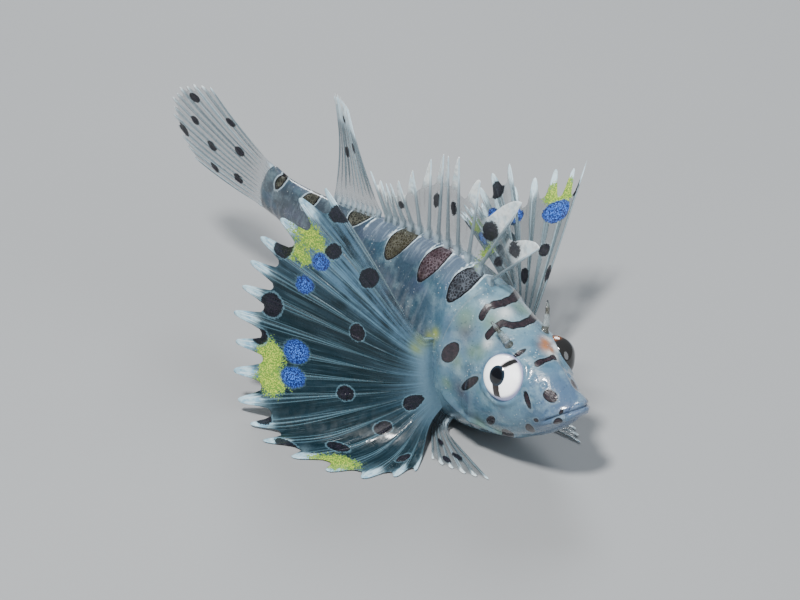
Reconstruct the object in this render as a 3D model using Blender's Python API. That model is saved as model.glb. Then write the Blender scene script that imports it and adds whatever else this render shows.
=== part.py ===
"""A young zebra lionfish at rest on the sea floor, life size, as a still display model.

The fish faces +X, its left side is +Y and +Z is up. It rests on its breast, its paired fins and
nothing else, and its tail is held a little higher than its head.
"""

import math

import bmesh
import bpy
from mathutils import Vector

MM = 0.001

# Driving sizes of the fish, in millimetres
STANDARD_LENGTH = 23.0
HEAD_LENGTH = 7.1
TAIL_STEM_START = 16.2
GAP = 0.3
GILL_SWEEP = 0.9
FLOOR_TO_AXIS = 3.96

# How the body's axis turns behind the head, in degrees
HEAD_PITCH = 1.0
TAIL_PITCH = 15.0
TAIL_YAW = -10.0
BEND_START = 7.0
BEND_END = 20.0

# Fins, in millimetres
RAY_THICKNESS = 0.72
MEMBRANE_SHARE = 0.66
TIP_SHARE = 0.36
ROOT_OUT = 0.5
LIE_SHARE = 0.7

# Eyes, in millimetres: half sizes along the head, across it and up
EYE_BACK = 3.62
EYE_SIDE = 1.58
EYE_HEIGHT = 1.02
EYE_HALF = (1.10, 0.94, 1.14)

# The mouth, in millimetres: its front edge, the fall of its line towards the corners, and lips
MOUTH_BACK = 1.9
MOUTH_FRONT_HEIGHT = 0.36
MOUTH_FALL = 0.70
MOUTH_SLIT = 0.14
LIP_RISE = 0.11

# Stations along the body: distance behind the snout, half width, height above the axis, depth
# below it, and how full the section is above and below (2 is an ellipse)
STATIONS = (
    (0.00, 0.66, 0.72, 0.02, 2.0, 2.0),
    (0.60, 1.26, 1.14, 0.74, 2.0, 2.1),
    (1.60, 1.72, 1.72, 1.50, 1.9, 2.2),
    (3.40, 2.12, 2.44, 2.50, 1.9, 2.3),
    (5.00, 2.32, 3.16, 3.24, 1.8, 2.2),
    (7.20, 2.46, 4.02, 3.90, 1.8, 2.2),
    (9.50, 2.42, 4.36, 4.22, 1.8, 2.2),
    (12.5, 2.08, 4.00, 4.42, 1.9, 2.0),
    (16.0, 1.46, 3.10, 2.66, 2.0, 2.0),
    (19.5, 0.86, 1.92, 1.54, 2.0, 2.0),
    (21.8, 0.58, 1.34, 1.22, 2.0, 2.0),
    (23.0, 0.46, 1.40, 1.28, 2.0, 2.0),
)

COLOURS = {
    "flesh": (0.56, 0.66, 0.72, 1.0),
    "fin": (0.52, 0.62, 0.66, 1.0),
    "eye": (0.92, 0.90, 0.90, 1.0),
}


def smooth_through(column, s):
    """A station value at distance s behind the snout, on a smooth curve through the stations."""
    marks = [row[0] for row in STATIONS]
    values = [row[column] for row in STATIONS]
    s = min(max(s, marks[0]), marks[-1])
    i = max(k for k in range(len(marks) - 1) if marks[k] <= s)
    span = marks[i + 1] - marks[i]
    t = (s - marks[i]) / span

    def slope(k):
        low, high = max(k - 1, 0), min(k + 1, len(marks) - 1)
        return (values[high] - values[low]) / (marks[high] - marks[low])

    rise = values[i] * (2 * t**3 - 3 * t**2 + 1) + values[i + 1] * (3 * t**2 - 2 * t**3)
    return rise + span * (slope(i) * (t**3 - 2 * t**2 + t) + slope(i + 1) * (t**3 - t**2))


def eased(t):
    """0 to 1 with a soft start and end."""
    t = min(max(t, 0.0), 1.0)
    return t * t * (3 - 2 * t)


def axis_frame(s):
    """The body axis at distance s behind the snout: a point, and the back, left and up directions."""
    steps = 48
    point = Vector((0, 0, FLOOR_TO_AXIS))
    for k in range(steps + 1):
        at = s * (k if k == steps else k + 0.5) / steps
        bend = eased((at - BEND_START) / (BEND_END - BEND_START))
        pitch = math.radians(HEAD_PITCH + TAIL_PITCH * bend)
        yaw = math.radians(TAIL_YAW * bend)
        back = Vector(
            (-math.cos(pitch) * math.cos(yaw), math.cos(pitch) * math.sin(yaw), math.sin(pitch))
        )
        if k < steps:
            point = point + back * (s / steps)
    left = Vector((math.sin(yaw), math.cos(yaw), 0))
    return point, back, left, left.cross(back)


def body_point(s, turn, out=0.0):
    """A point of the skin: turn 0 is the back, 90 the left side, 180 the belly, 270 the right."""
    point, _, left, up = axis_frame(s)
    angle = math.radians(turn)
    across, above = math.sin(angle), math.cos(angle)
    full = smooth_through(4 if above > 0 else 5, s)
    wide = math.copysign(abs(across) ** (2 / full), across) * smooth_through(1, s)
    tall = math.copysign(abs(above) ** (2 / full), above)
    tall *= smooth_through(2 if above > 0 else 3, s)
    surface = point + left * wide + up * tall
    return surface + (left * across + up * above) * out


def material(name, roughness):
    """A plain Principled finish for one sub-part."""
    made = bpy.data.materials.new(name)
    made.use_nodes = True
    shader = made.node_tree.nodes["Principled BSDF"]
    shader.inputs["Base Color"].default_value = COLOURS[name.split("_")[0]]
    shader.inputs["Roughness"].default_value = roughness
    shader.inputs["Metallic"].default_value = 0.0
    return made


def add_object(name, points, faces, finish, roughness, fish):
    """A mesh object from points in millimetres, smooth shaded, under the fish's empty."""
    mesh = bpy.data.meshes.new(name)
    mesh.from_pydata([tuple(p * MM) for p in points], [], faces)
    shell = bmesh.new()
    shell.from_mesh(mesh)
    bmesh.ops.recalc_face_normals(shell, faces=shell.faces)
    shell.to_mesh(mesh)
    shell.free()
    mesh.shade_smooth()
    mesh.materials.append(material(f"{finish}_{name}", roughness))
    obj = bpy.data.objects.new(name, mesh)
    bpy.context.scene.collection.objects.link(obj)
    obj.parent = fish
    return obj


def lofted(rings, start, end):
    """Points and faces of a closed tube through rings of equal count, with a fan at each end."""
    count = len(rings[0])
    points = [p for ring in rings for p in ring] + [start, end]
    faces = []
    for r in range(len(rings) - 1):
        for k in range(count):
            a, b = r * count + k, r * count + (k + 1) % count
            faces.append((a, a + count, b + count, b))
    first, last = len(points) - 2, (len(rings) - 1) * count
    for k in range(count):
        faces.append((first, k, (k + 1) % count))
        faces.append((first + 1, last + (k + 1) % count, last + k))
    return points, faces


def mouth_height(x_back):
    """The height of the mouth's line over the axis at a distance behind the snout."""
    return MOUTH_FRONT_HEIGHT - MOUTH_FALL * x_back / MOUTH_BACK


def head_relief(s, turn, point):
    """How far the head's skin stands out of its plain form: lips, cheek ridge and gill cover."""
    side = abs(math.sin(math.radians(turn)))
    off_mouth = abs(point.z - FLOOR_TO_AXIS - mouth_height(s))
    lips = LIP_RISE * math.exp(-(((off_mouth - 0.26) / 0.2) ** 2)) * eased((2.3 - s) / 0.6)
    ridge_at = 5.3 - 0.7 * math.cos(math.radians(turn))
    cheek = 0.13 * math.exp(-(((s - ridge_at) / 0.28) ** 2)) * side**2
    cover = 0.16 * eased((s - gill_edge(turn) + 0.9) / 0.8) * side
    return lips + cheek + cover


def body_length(name, starts, ends, rows, around, fish, relief=None, crowd=1.0):
    """One length of the body between two edges, each a function of the turn round the body."""
    rings = []
    for r in range(rows + 1):
        ring = []
        for k in range(around):
            turn = 360.0 * k / around
            s = starts(turn) + (ends(turn) - starts(turn)) * (r / rows) ** crowd
            point = body_point(s, turn)
            if relief:
                point = body_point(s, turn, relief(s, turn, point))
            ring.append(point)
        rings.append(ring)
    start = axis_frame(starts(0))[0]
    end = axis_frame(ends(0))[0]
    points, faces = lofted(rings, start, end)
    obj = add_object(name, points, faces, "flesh", 0.35, fish)
    rest_on_floor(obj)
    return obj


def rest_on_floor(obj):
    """Presses what reaches below the floor flat onto it."""
    for vertex in obj.data.vertices:
        vertex.co.z = max(vertex.co.z, 0.0)


def gill_edge(turn):
    """Where the head ends: the gill covers sweep further back on the sides."""
    return HEAD_LENGTH - GILL_SWEEP / 2 + GILL_SWEEP * abs(math.sin(math.radians(turn))) ** 1.5


def fin(name, point, rays, rows, steps, fish, ray_thickness=RAY_THICKNESS):
    """A fin as a sheet with columns on and between its rays, thickened with the rays as ridges.

    point(u, v) is the sheet, with u from root to tip and v counting the rays from 0. Each of steps
    is how far a column lies past a ray, how far the edge reaches there, and whether it is a ray.
    """
    columns = [(k + step, reach, ridge) for k in range(rays - 1) for step, reach, ridge in steps]
    columns.append((rays - 1, *steps[0][1:]))
    points, weights = [], []
    for v, reach, ridge in columns:
        for r in range(rows + 1):
            u = r / rows
            points.append(point(u * reach, v))
            share = ridge_share(point, u, v, rays) if ridge else MEMBRANE_SHARE
            weights.append(taper(share, u))
    faces = []
    for c in range(len(columns) - 1):
        for r in range(rows):
            a = c * (rows + 1) + r
            b = a + rows + 1
            faces.append((a, b, b + 1))
            faces.append((a, b + 1, a + 1))
    obj = add_object(name, points, faces, "fin", 0.4, fish)
    group = obj.vertex_groups.new(name="thickness")
    for i, weight in enumerate(weights):
        group.add([i], weight, "REPLACE")
    solid = obj.modifiers.new("thickness", "SOLIDIFY")
    solid.thickness = ray_thickness * MM
    solid.offset = 0.0
    solid.vertex_group = group.name
    solid.use_rim = True
    return obj


def ridge_share(point, u, v, rays):
    """A ray's share of the full thickness at u, which sinks to the membrane's where rays crowd."""
    low, high = max(v - 1, 0), min(v + 1, rays - 1)
    spacing = (point(u, high) - point(u, low)).length / (high - low)
    return MEMBRANE_SHARE + (1 - MEMBRANE_SHARE) * eased((spacing - 0.22) / 0.3)


def settle(obj):
    """Applies an object's modifiers and presses its underside flat onto the floor."""
    graph = bpy.context.evaluated_depsgraph_get()
    mesh = bpy.data.meshes.new_from_object(obj.evaluated_get(graph))
    obj.modifiers.clear()
    obj.data = mesh
    rest_on_floor(obj)


def taper(weight, u):
    """A share of a fin's thickness at u, full to half way and down to the tip's share there."""
    return weight + (TIP_SHARE - weight) * max(0.0, (u - 0.5) / 0.5) ** 1.5


def above_floor(p, u):
    """Lifts a point of a fin at u that would come too near the floor, without a crease."""
    soft = 0.35
    height = LIE_SHARE * taper(MEMBRANE_SHARE, u) * RAY_THICKNESS / 2
    over = (p.z - height) / soft
    if over > 8:
        return p
    lifted = height + soft * math.log(1 + math.exp(over))
    return Vector((p.x, p.y, lifted))


def through_three(first, middle, last, share):
    """A value on the curve through three values, at shares 0, 0.5 and 1."""
    a = 2 * (share - 0.5) * (share - 1)
    b = 4 * share * (1 - share)
    c = 2 * share * (share - 0.5)
    return first * a + middle * b + last * c


def between_marks(marks, v):
    """A value between two neighbours of a row of marks."""
    low = min(int(v), len(marks) - 2)
    return marks[low] + (marks[low + 1] - marks[low]) * (v - low)


PECTORAL_RAYS = 17
PECTORAL_FINS = {
    # Directions of the top, middle and lowest rays, with the fish facing +X, their lengths, how
    # far the lower rays are drawn together, and where the base starts and ends on the side
    "right": {
        "top": Vector((-0.54, -0.13, 0.75)),
        "middle": Vector((-0.71, -0.46, -0.09)),
        "lowest": Vector((0.76, -0.68, -0.55)),
        "lengths": (8.0, 8.9, 3.7),
        "bunch": 1.0,
        "behind": (8.3, 8.0),
        "turns": (72, 128),
    },
    "left": {
        "top": Vector((-0.67, 0.52, 0.70)),
        "middle": Vector((-0.98, 0.25, 0.29)),
        "lowest": Vector((-0.30, 0.55, 0.48)),
        "lengths": (6.4, 7.8, 11.2),
        "bunch": 1.5,
        "behind": (8.7, 8.7),
        "turns": (67, 117),
    },
}


def pectoral_sheet(side):
    """The sheet of one pectoral fin: a fan that leaves the side and opens like a skirt."""
    fan = PECTORAL_FINS[side]
    sign = 1 if side == "left" else -1

    def point(u, v):
        share = v / (PECTORAL_RAYS - 1)
        turn = sign * between_marks(fan["turns"], share)
        s = between_marks(fan["behind"], share)
        root = body_point(s, turn, ROOT_OUT)
        outward = (root - body_point(s, turn)).normalized()
        place = 1 - (1 - share) ** fan["bunch"]
        ray = through_three(fan["top"], fan["middle"], fan["lowest"], place).normalized()
        length = through_three(*fan["lengths"], share)
        leave = 0.5 * (1 - math.exp(-u * 14))
        droop = Vector((-0.9, 0, -0.5)) * (u * u * (1 - 0.6 * share))
        p = root + outward * leave + ray * (length * u) + droop
        return above_floor(p, u)

    return point


DORSAL_SPINES = 13
DORSAL_START = 6.8
DORSAL_END = 15.4
DORSAL_CROWD = 1.35


SPINE_LENGTHS = (4.8, 5.0, 4.2, 5.2, 5.0, 4.5, 3.7, 2.9, 2.3, 2.0, 1.8, 1.8, 2.3)
SPINE_LEANS = (47, 30, 8, 6, 7, 4, -4, -13, -20, -26, -30, -32, -34)


def dorsal_spiny_point(u, v):
    along = 1 - (1 - v / (DORSAL_SPINES - 1)) ** DORSAL_CROWD
    s = DORSAL_START + (DORSAL_END - DORSAL_START) * along
    _, back, left, _ = axis_frame(s)
    root = body_point(s, 0, GAP)
    lean = math.radians(between_marks(SPINE_LEANS, v))
    up = Vector((0, 0, 1))
    ray = up * math.cos(lean) - back * math.sin(lean) + left * (0.10 * math.sin(v * 1.3))
    return root + ray.normalized() * (between_marks(SPINE_LENGTHS, v) * u)


SOFT_RAYS = 10


def dorsal_soft_point(u, v):
    share = v / (SOFT_RAYS - 1)
    s = 15.9 + 3.1 * share
    _, back, left, _ = axis_frame(s)
    root = body_point(s, 0, GAP)
    lean = math.radians(-27 + 27 * share)
    ray = Vector((0, 0, 1)) * math.cos(lean) - back * math.sin(lean)
    length = 5.0 + 0.6 * share
    bow = left * (0.5 * math.sin(math.pi * u) * (share - 0.3))
    return root + ray * (length * u) + bow


CAUDAL_RAYS = 13


def caudal_point(u, v):
    share = v / (CAUDAL_RAYS - 1)
    point, back, left, up = axis_frame(STANDARD_LENGTH)
    high = 1.28 * (1 - 2 * share)
    spread = math.radians(12 - 22 * share)
    root = point + back * GAP + up * high
    ray = back * math.cos(spread) + up * math.sin(spread)
    length = 5.4 + 2.1 * math.sin(math.pi * share)
    sway = left * (0.5 * u * u)
    return root + ray * (length * u) + sway


ANAL_RAYS = 9


def anal_point(u, v):
    share = v / (ANAL_RAYS - 1)
    s = 15.2 + 3.8 * share
    _, back, left, _ = axis_frame(s)
    root = body_point(s, 180, GAP)
    lean = math.radians(48 + 20 * share)
    ray = Vector((0, 0, -1)) * math.cos(lean) + back * math.sin(lean)
    length = 1.6 + 2.3 * math.sin(math.pi * (0.12 + 0.62 * share))
    sway = left * (0.35 * u * u)
    return root + ray * (length * u) + sway


PELVIC_RAYS = 6


def pelvic_sheet(side):
    """The sheet of one pelvic fin, spread forward and out on the floor under the breast."""
    sign = 1 if side == "left" else -1

    def point(u, v):
        share = v / (PELVIC_RAYS - 1)
        s = 7.9 + 0.9 * share
        root = body_point(s, sign * 147, ROOT_OUT)
        outward = (root - body_point(s, sign * 147)).normalized()
        heading = math.radians(10 + 26 * share)
        ray = Vector((math.cos(heading), sign * math.sin(heading), -0.5))
        length = 4.8 - 1.6 * share
        leave = 0.4 * (1 - math.exp(-u * 14))
        p = root + outward * leave + ray * (length * u)
        return above_floor(p, u)

    return point


def cutter(obj, fish):
    """Hides an object that only cuts, and shows it as wire."""
    obj.parent = fish
    obj.hide_render = True
    obj.display_type = "WIRE"
    return obj


def eye_centre(sign):
    """The middle of an eye, in metres."""
    point, _, left, up = axis_frame(EYE_BACK)
    return (point + left * (sign * EYE_SIDE) + up * EYE_HEIGHT) * MM


def eyeball(name, sign, grow, fish):
    """An eye's form, flattened across the head, or the same form grown as a socket."""
    bpy.ops.mesh.primitive_uv_sphere_add(segments=20, ring_count=12, radius=1.0)
    ball = bpy.context.active_object
    ball.name = name
    ball.rotation_euler = (math.radians(90), 0, math.radians(-9 * sign))
    ball.location = eye_centre(sign)
    ball.scale = [(EYE_HALF[axis] + grow) * MM for axis in (0, 2, 1)]
    ball.data.shade_smooth()
    ball.parent = fish
    return ball


def orbit_rim(sign):
    """The raised rim of skin round an eye, as a ring."""
    bpy.ops.mesh.primitive_torus_add(
        major_segments=20, minor_segments=6, major_radius=1.36 * MM, minor_radius=0.26 * MM
    )
    rim = bpy.context.active_object
    point, _, left, up = axis_frame(EYE_BACK)
    rim.location = (point + left * (sign * 1.74) + up * EYE_HEIGHT) * MM
    rim.rotation_euler = (math.radians(90 + 15 * sign), 0, math.radians(-9 * sign))
    return rim


def nostril_rim(s, turn):
    """A short tube on the snout that the nostril opens through."""
    root = body_point(s, turn, -0.2) * MM
    out = (body_point(s, turn, 1.0) - body_point(s, turn)).normalized()
    bpy.ops.mesh.primitive_cone_add(vertices=10, radius1=0.28 * MM, radius2=0.19 * MM, depth=0.7 * MM)
    rim = bpy.context.active_object
    rim.rotation_euler = out.to_track_quat("Z", "Y").to_euler()
    rim.location = root + out * 0.1 * MM
    bpy.ops.mesh.primitive_cylinder_add(vertices=8, radius=0.1 * MM, depth=0.5 * MM)
    pit = bpy.context.active_object
    pit.name = "nostril_pit"
    pit.rotation_euler = rim.rotation_euler
    pit.location = root + out * 0.45 * MM
    return rim, pit


def mouth_cutter():
    """A thin bent blade that cuts the line of the mouth across the snout."""
    points, faces = [], []
    rows = 6
    for r in range(rows + 1):
        back = -0.6 + (MOUTH_BACK + 0.6) * r / rows
        x, z = -back, FLOOR_TO_AXIS + mouth_height(max(back, 0.0))
        half = MOUTH_SLIT / 2 * (1 if r < rows else 0.5)
        for y, rise in ((-3, half), (3, half), (3, -half), (-3, -half)):
            points.append(Vector((x, y, z + rise)))
    for r in range(rows):
        for k in range(4):
            a, b = r * 4 + k, r * 4 + (k + 1) % 4
            faces.append((a, b, b + 4, a + 4))
    faces.append((3, 2, 1, 0))
    faces.append(tuple(rows * 4 + k for k in range(4)))
    return points, faces


def combine(obj, others, operation):
    """Joins or cuts an object with others in one Boolean, applies it, and removes the others."""
    group = bpy.data.collections.new("pieces")
    for other in others:
        group.objects.link(other)
    work = obj.modifiers.new("pieces", "BOOLEAN")
    work.operation = operation
    work.operand_type = "COLLECTION"
    work.collection = group
    work.solver = "EXACT"
    bpy.context.view_layer.update()
    graph = bpy.context.evaluated_depsgraph_get()
    mesh = bpy.data.meshes.new_from_object(obj.evaluated_get(graph))
    obj.modifiers.clear()
    obj.data = mesh
    for other in others:
        bpy.data.objects.remove(other)
    bpy.data.collections.remove(group)


def keep_largest(obj):
    """Keeps only the largest closed surface of a mesh."""
    shell = bmesh.new()
    shell.from_mesh(obj.data)
    left = set(shell.verts)
    parts = []
    while left:
        part, reach = set(), [left.pop()]
        while reach:
            vertex = reach.pop()
            part.add(vertex)
            for edge in vertex.link_edges:
                other = edge.other_vert(vertex)
                if other in left:
                    left.remove(other)
                    reach.append(other)
        parts.append(part)
    parts.sort(key=len)
    loose = [vertex for part in parts[:-1] for vertex in part]
    bmesh.ops.delete(shell, geom=loose, context="VERTS")
    bmesh.ops.triangulate(shell, faces=shell.faces)
    shell.to_mesh(obj.data)
    shell.free()


def finish_head(head, fish):
    """Adds the rims of the eyes and nostrils to the head, and cuts sockets, nostrils and mouth."""
    rims, pits = [], []
    for sign in (1, -1):
        rims.append(orbit_rim(sign))
        for s, turn in ((1.55, 38), (2.15, 44)):
            rim, pit = nostril_rim(s, sign * turn)
            rims.append(rim)
            pits.append(pit)
        pits.append(eyeball("socket", sign, GAP, fish))
    combine(head, rims, "UNION")
    keep_largest(head)
    points, faces = mouth_cutter()
    pits.append(add_object("mouth_blade", points, faces, "flesh", 0.5, fish))
    combine(head, pits, "DIFFERENCE")
    keep_largest(head)
    head.data.shade_smooth()
    head.data.materials.clear()
    head.data.materials.append(material("flesh_head", 0.35))


def add_eyes(fish):
    """Both eyes, in the sockets of the head."""
    for side, sign in (("left", 1), ("right", -1)):
        eye = eyeball(f"eye_{side}", sign, 0.0, fish)
        eye.data.materials.append(material(f"eye_{side}", 0.1))


def add_tentacles(fish):
    """The fleshy tentacle over each eye, a short tapered tube that leans out."""
    around, rows = 8, 5
    for side, sign in (("left", 1), ("right", -1)):
        root = body_point(4.1, sign * 30, GAP)
        lean = Vector((-0.15, sign * 0.45, 0.88)).normalized()
        along = Vector((1, 0, 0)) - lean * lean.x
        along.normalize()
        across = lean.cross(along)
        rings = []
        for r in range(rows + 1):
            share = r / rows
            radius = 0.26 * (1 - share) + 0.08
            centre = root + lean * (1.35 * share) + Vector((-0.35, 0, 0)) * share**2
            ring = []
            for k in range(around):
                angle = 2 * math.pi * k / around
                spoke = along * math.cos(angle) + across * math.sin(angle)
                ring.append(centre + spoke * radius)
            rings.append(ring)
        points, faces = lofted(rings[::-1], rings[-1][0].lerp(rings[-1][4], 0.5), root)
        add_object(f"eye_tentacle_{side}", points, faces, "fin", 0.4, fish)


def centre_on_origin(fish):
    """Puts the middle of the fish's footprint over the origin, with the floor at zero."""
    bpy.context.view_layer.update()
    graph = bpy.context.evaluated_depsgraph_get()
    corners = []
    for obj in bpy.context.scene.objects:
        if obj.type == "MESH" and not obj.hide_render:
            seen = obj.evaluated_get(graph)
            corners += [seen.matrix_world @ v.co for v in seen.to_mesh().vertices]
            seen.to_mesh_clear()
    for axis in (0, 1):
        values = [c[axis] for c in corners]
        fish.location[axis] = -(min(values) + max(values)) / 2
    print("lowest point", min(c.z for c in corners))


# Where the columns of a fin lie past each ray, how far the edge reaches there, and which is a ray
FINGERED = ((0.0, 1.0, True), (0.16, 0.96, False), (0.5, 0.86, False), (0.84, 0.96, False))
FLAGGED = ((0.0, 1.0, True), (0.2, 0.93, False), (0.55, 0.76, False), (0.86, 0.66, False))
WAVED = ((0.0, 1.0, True), (0.22, 0.97, False), (0.5, 0.93, False), (0.78, 0.97, False))


def main():
    for obj in list(bpy.data.objects):
        bpy.data.objects.remove(obj)
    fish = bpy.data.objects.new("lionfish", None)
    bpy.context.scene.collection.objects.link(fish)
    head = body_length("head", lambda turn: 0.0, gill_edge, 24, 32, fish, head_relief, 1.25)
    finish_head(head, fish)
    add_eyes(fish)
    body_length(
        "trunk", lambda turn: gill_edge(turn) + GAP, lambda turn: TAIL_STEM_START, 10, 32, fish
    )
    body_length(
        "tail_stem", lambda turn: TAIL_STEM_START + GAP, lambda turn: STANDARD_LENGTH, 7, 24, fish
    )
    add_tentacles(fish)
    fin("dorsal_fin_spiny", dorsal_spiny_point, DORSAL_SPINES, 5, FLAGGED, fish, 0.8)
    fin("dorsal_fin_soft", dorsal_soft_point, SOFT_RAYS, 4, WAVED, fish)
    fin("caudal_fin", caudal_point, CAUDAL_RAYS, 5, WAVED, fish)
    fin("anal_fin", anal_point, ANAL_RAYS, 4, WAVED, fish)
    for side in ("left", "right"):
        settle(fin(f"pectoral_fin_{side}", pectoral_sheet(side), PECTORAL_RAYS, 8, FINGERED, fish))
        settle(fin(f"pelvic_fin_{side}", pelvic_sheet(side), PELVIC_RAYS, 4, WAVED, fish))
    centre_on_origin(fish)


main()
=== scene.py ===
# %% [markdown]
# # A young zebra lionfish at rest
# A lionfish this young is about as long as the end joint of a thumb. Its flesh is a clear, bluish
# jelly, and its fins are glassy sheets with dark, blue and yellow spots. This lesson dresses a
# plain solid of it as a still display model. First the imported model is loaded, because every piece
# is placed in its frame.

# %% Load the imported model
import math

import bmesh
import bpy
import numpy as np
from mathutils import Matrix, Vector


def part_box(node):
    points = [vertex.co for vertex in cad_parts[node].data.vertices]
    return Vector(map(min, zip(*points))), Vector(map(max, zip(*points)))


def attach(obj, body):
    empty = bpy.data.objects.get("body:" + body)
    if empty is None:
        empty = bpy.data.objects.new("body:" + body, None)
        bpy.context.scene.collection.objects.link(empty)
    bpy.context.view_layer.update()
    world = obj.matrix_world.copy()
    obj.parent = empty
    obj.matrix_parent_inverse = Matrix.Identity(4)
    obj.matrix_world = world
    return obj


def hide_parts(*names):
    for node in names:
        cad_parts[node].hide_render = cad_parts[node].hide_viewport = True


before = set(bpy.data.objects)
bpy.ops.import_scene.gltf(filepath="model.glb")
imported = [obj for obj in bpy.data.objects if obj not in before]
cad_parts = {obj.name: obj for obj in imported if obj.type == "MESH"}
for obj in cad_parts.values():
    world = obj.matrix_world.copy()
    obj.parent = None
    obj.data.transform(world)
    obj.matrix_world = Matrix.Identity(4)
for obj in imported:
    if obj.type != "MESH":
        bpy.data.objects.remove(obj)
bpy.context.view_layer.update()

MM = 0.001
print("packed nodes:", len(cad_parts))

# %% [markdown]
# ## The plan of the body
# The fish is drawn in millimetres, with its snout at zero, so that its sizes stay easy to read. A
# body like this could be sculpted, but a loft through measured stations keeps it true to the solid
# model. The stations give the half width, the height over the axis, the depth under it, and how
# full the section is. A value between two stations lies on a smooth curve through them.

# %% Stations of the body
STATIONS = np.array([
    (0.00, 0.66, 0.72, 0.02, 2.0, 2.0), (0.60, 1.26, 1.14, 0.74, 2.0, 2.1),
    (1.60, 1.72, 1.72, 1.50, 1.9, 2.2), (3.40, 2.12, 2.44, 2.50, 1.9, 2.3),
    (5.00, 2.32, 3.16, 3.24, 1.8, 2.2), (7.20, 2.46, 4.02, 3.90, 1.8, 2.2),
    (9.50, 2.42, 4.36, 4.22, 1.8, 2.2), (12.5, 2.08, 4.00, 4.42, 1.9, 2.0),
    (16.0, 1.46, 3.10, 2.66, 2.0, 2.0), (19.5, 0.86, 1.92, 1.54, 2.0, 2.0),
    (21.8, 0.58, 1.34, 1.22, 2.0, 2.0), (23.0, 0.46, 1.40, 1.28, 2.0, 2.0),
])
STANDARD_LENGTH = 23.0
HEAD_LENGTH = 7.1
GILL_SWEEP = 0.9
FLOOR_TO_AXIS = 3.96


def smooth_through(column, s):
    """Station values at distances s behind the snout, on a smooth curve through the stations."""
    marks, values = STATIONS[:, 0], STATIONS[:, column]
    last = len(marks) - 1
    low, high = np.maximum(np.arange(last + 1) - 1, 0), np.minimum(np.arange(last + 1) + 1, last)
    slopes = (values[high] - values[low]) / (marks[high] - marks[low])
    s = np.clip(s, marks[0], marks[-1])
    i = np.clip(np.searchsorted(marks, s, side="right") - 1, 0, last - 1)
    span = marks[i + 1] - marks[i]
    t = (s - marks[i]) / span
    rise = values[i] * (2 * t**3 - 3 * t**2 + 1) + values[i + 1] * (3 * t**2 - 2 * t**3)
    return rise + span * (slopes[i] * (t**3 - 2 * t**2 + t) + slopes[i + 1] * (t**3 - t**2))


def eased(t):
    """0 to 1 with a soft start and end."""
    t = np.clip(t, 0.0, 1.0)
    return t * t * (3 - 2 * t)


print("deepest section (mm):", round(float(smooth_through(2, 9.5) + smooth_through(3, 9.5)), 2))

# %% [markdown]
# ## The axis
# Behind the head the fish bends up and a little to its right. The axis is a path that is walked in
# small steps, and every later shape hangs on it: a point of the skin is a distance along the axis
# and a turn round it, where 0 is the back, 90 the left side, 180 the belly and 270 the right side.

# %% The axis and the skin's form
HEAD_PITCH, TAIL_PITCH, TAIL_YAW = 1.0, 15.0, -10.0
BEND_START, BEND_END = 7.0, 20.0


def directions(s):
    """The back, left and up directions of the axis at distances s."""
    bend = eased((s - BEND_START) / (BEND_END - BEND_START))
    pitch = np.radians(HEAD_PITCH + TAIL_PITCH * bend)
    yaw = np.radians(TAIL_YAW * bend)
    back = np.stack([-np.cos(pitch) * np.cos(yaw), np.cos(pitch) * np.sin(yaw), np.sin(pitch)], -1)
    left = np.stack([np.sin(yaw), np.cos(yaw), 0 * yaw], -1)
    return back, left, np.cross(left, back)


PACE = 0.02
WALK = np.arange(0.0, STANDARD_LENGTH + PACE, PACE)
STEPS = directions((WALK[1:] + WALK[:-1]) / 2)[0] * PACE
PATH = np.vstack([[0, 0, FLOOR_TO_AXIS], [0, 0, FLOOR_TO_AXIS] + np.cumsum(STEPS, axis=0)])


def axis_point(s):
    """Points of the axis at distances s behind the snout."""
    return np.stack([np.interp(s, WALK, PATH[:, k]) for k in range(3)], -1)


def signed_power(value, power):
    """A power that keeps the sign of its base, for the rounded sections."""
    return np.sign(value) * np.abs(value) ** power


def body_point(s, turn, out=0.0):
    """Points of the skin at distances s and turns in degrees, or that far out of it."""
    s, turn = np.broadcast_arrays(np.asarray(s, float), np.asarray(turn, float))
    _, left, up = directions(s)
    across, above = np.sin(np.radians(turn)), np.cos(np.radians(turn))
    full = np.where(above > 0, smooth_through(4, s), smooth_through(5, s))
    wide = signed_power(across, 2 / full) * smooth_through(1, s)
    tall = signed_power(above, 2 / full)
    tall = tall * np.where(above > 0, smooth_through(2, s), smooth_through(3, s))
    surface = axis_point(s) + left * wide[..., None] + up * tall[..., None]
    away = left * across[..., None] + up * above[..., None]
    return surface + away * np.asarray(out)[..., None]


EYE_BACK, EYE_SIDE, EYE_HEIGHT = 3.62, 1.58, 1.02
EYE_HALF = np.array([1.10, 0.94, 1.14])
LEFT_EYE_SHIFT, LEFT_EYE_SIZE = np.array([0.0, -0.17, 0.05]), [0.94, 0.82, 0.92]


def eye_centre(sign):
    """The middle of an eye: sign is 1 for the left one and -1 for the right."""
    _, left, up = directions(np.array(EYE_BACK))
    return axis_point(EYE_BACK) + left * (sign * EYE_SIDE) + up * EYE_HEIGHT


def eye_seat(sign):
    """Where the eyeball rests: the left one is turned away and sits a little deeper."""
    return eye_centre(sign) + (LEFT_EYE_SHIFT if sign > 0 else 0.0)


packed_eyes = sum(np.array(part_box(f"eye_{side}")).mean(axis=0) for side in ("left", "right")) / 2
SHIFT = packed_eyes / MM - (eye_centre(1) + eye_centre(-1)) / 2
print("from the drawing to the packed frame (mm):", np.round(SHIFT, 3))

# %% [markdown]
# ## Making a mesh
# Every piece is made the same way: its points are drawn in millimetres and moved into the packed
# frame. What the material has to know about a place, such as how far it lies inside a spot, is
# kept on the mesh as an attribute, so the pattern follows the flesh and not the camera.

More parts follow.
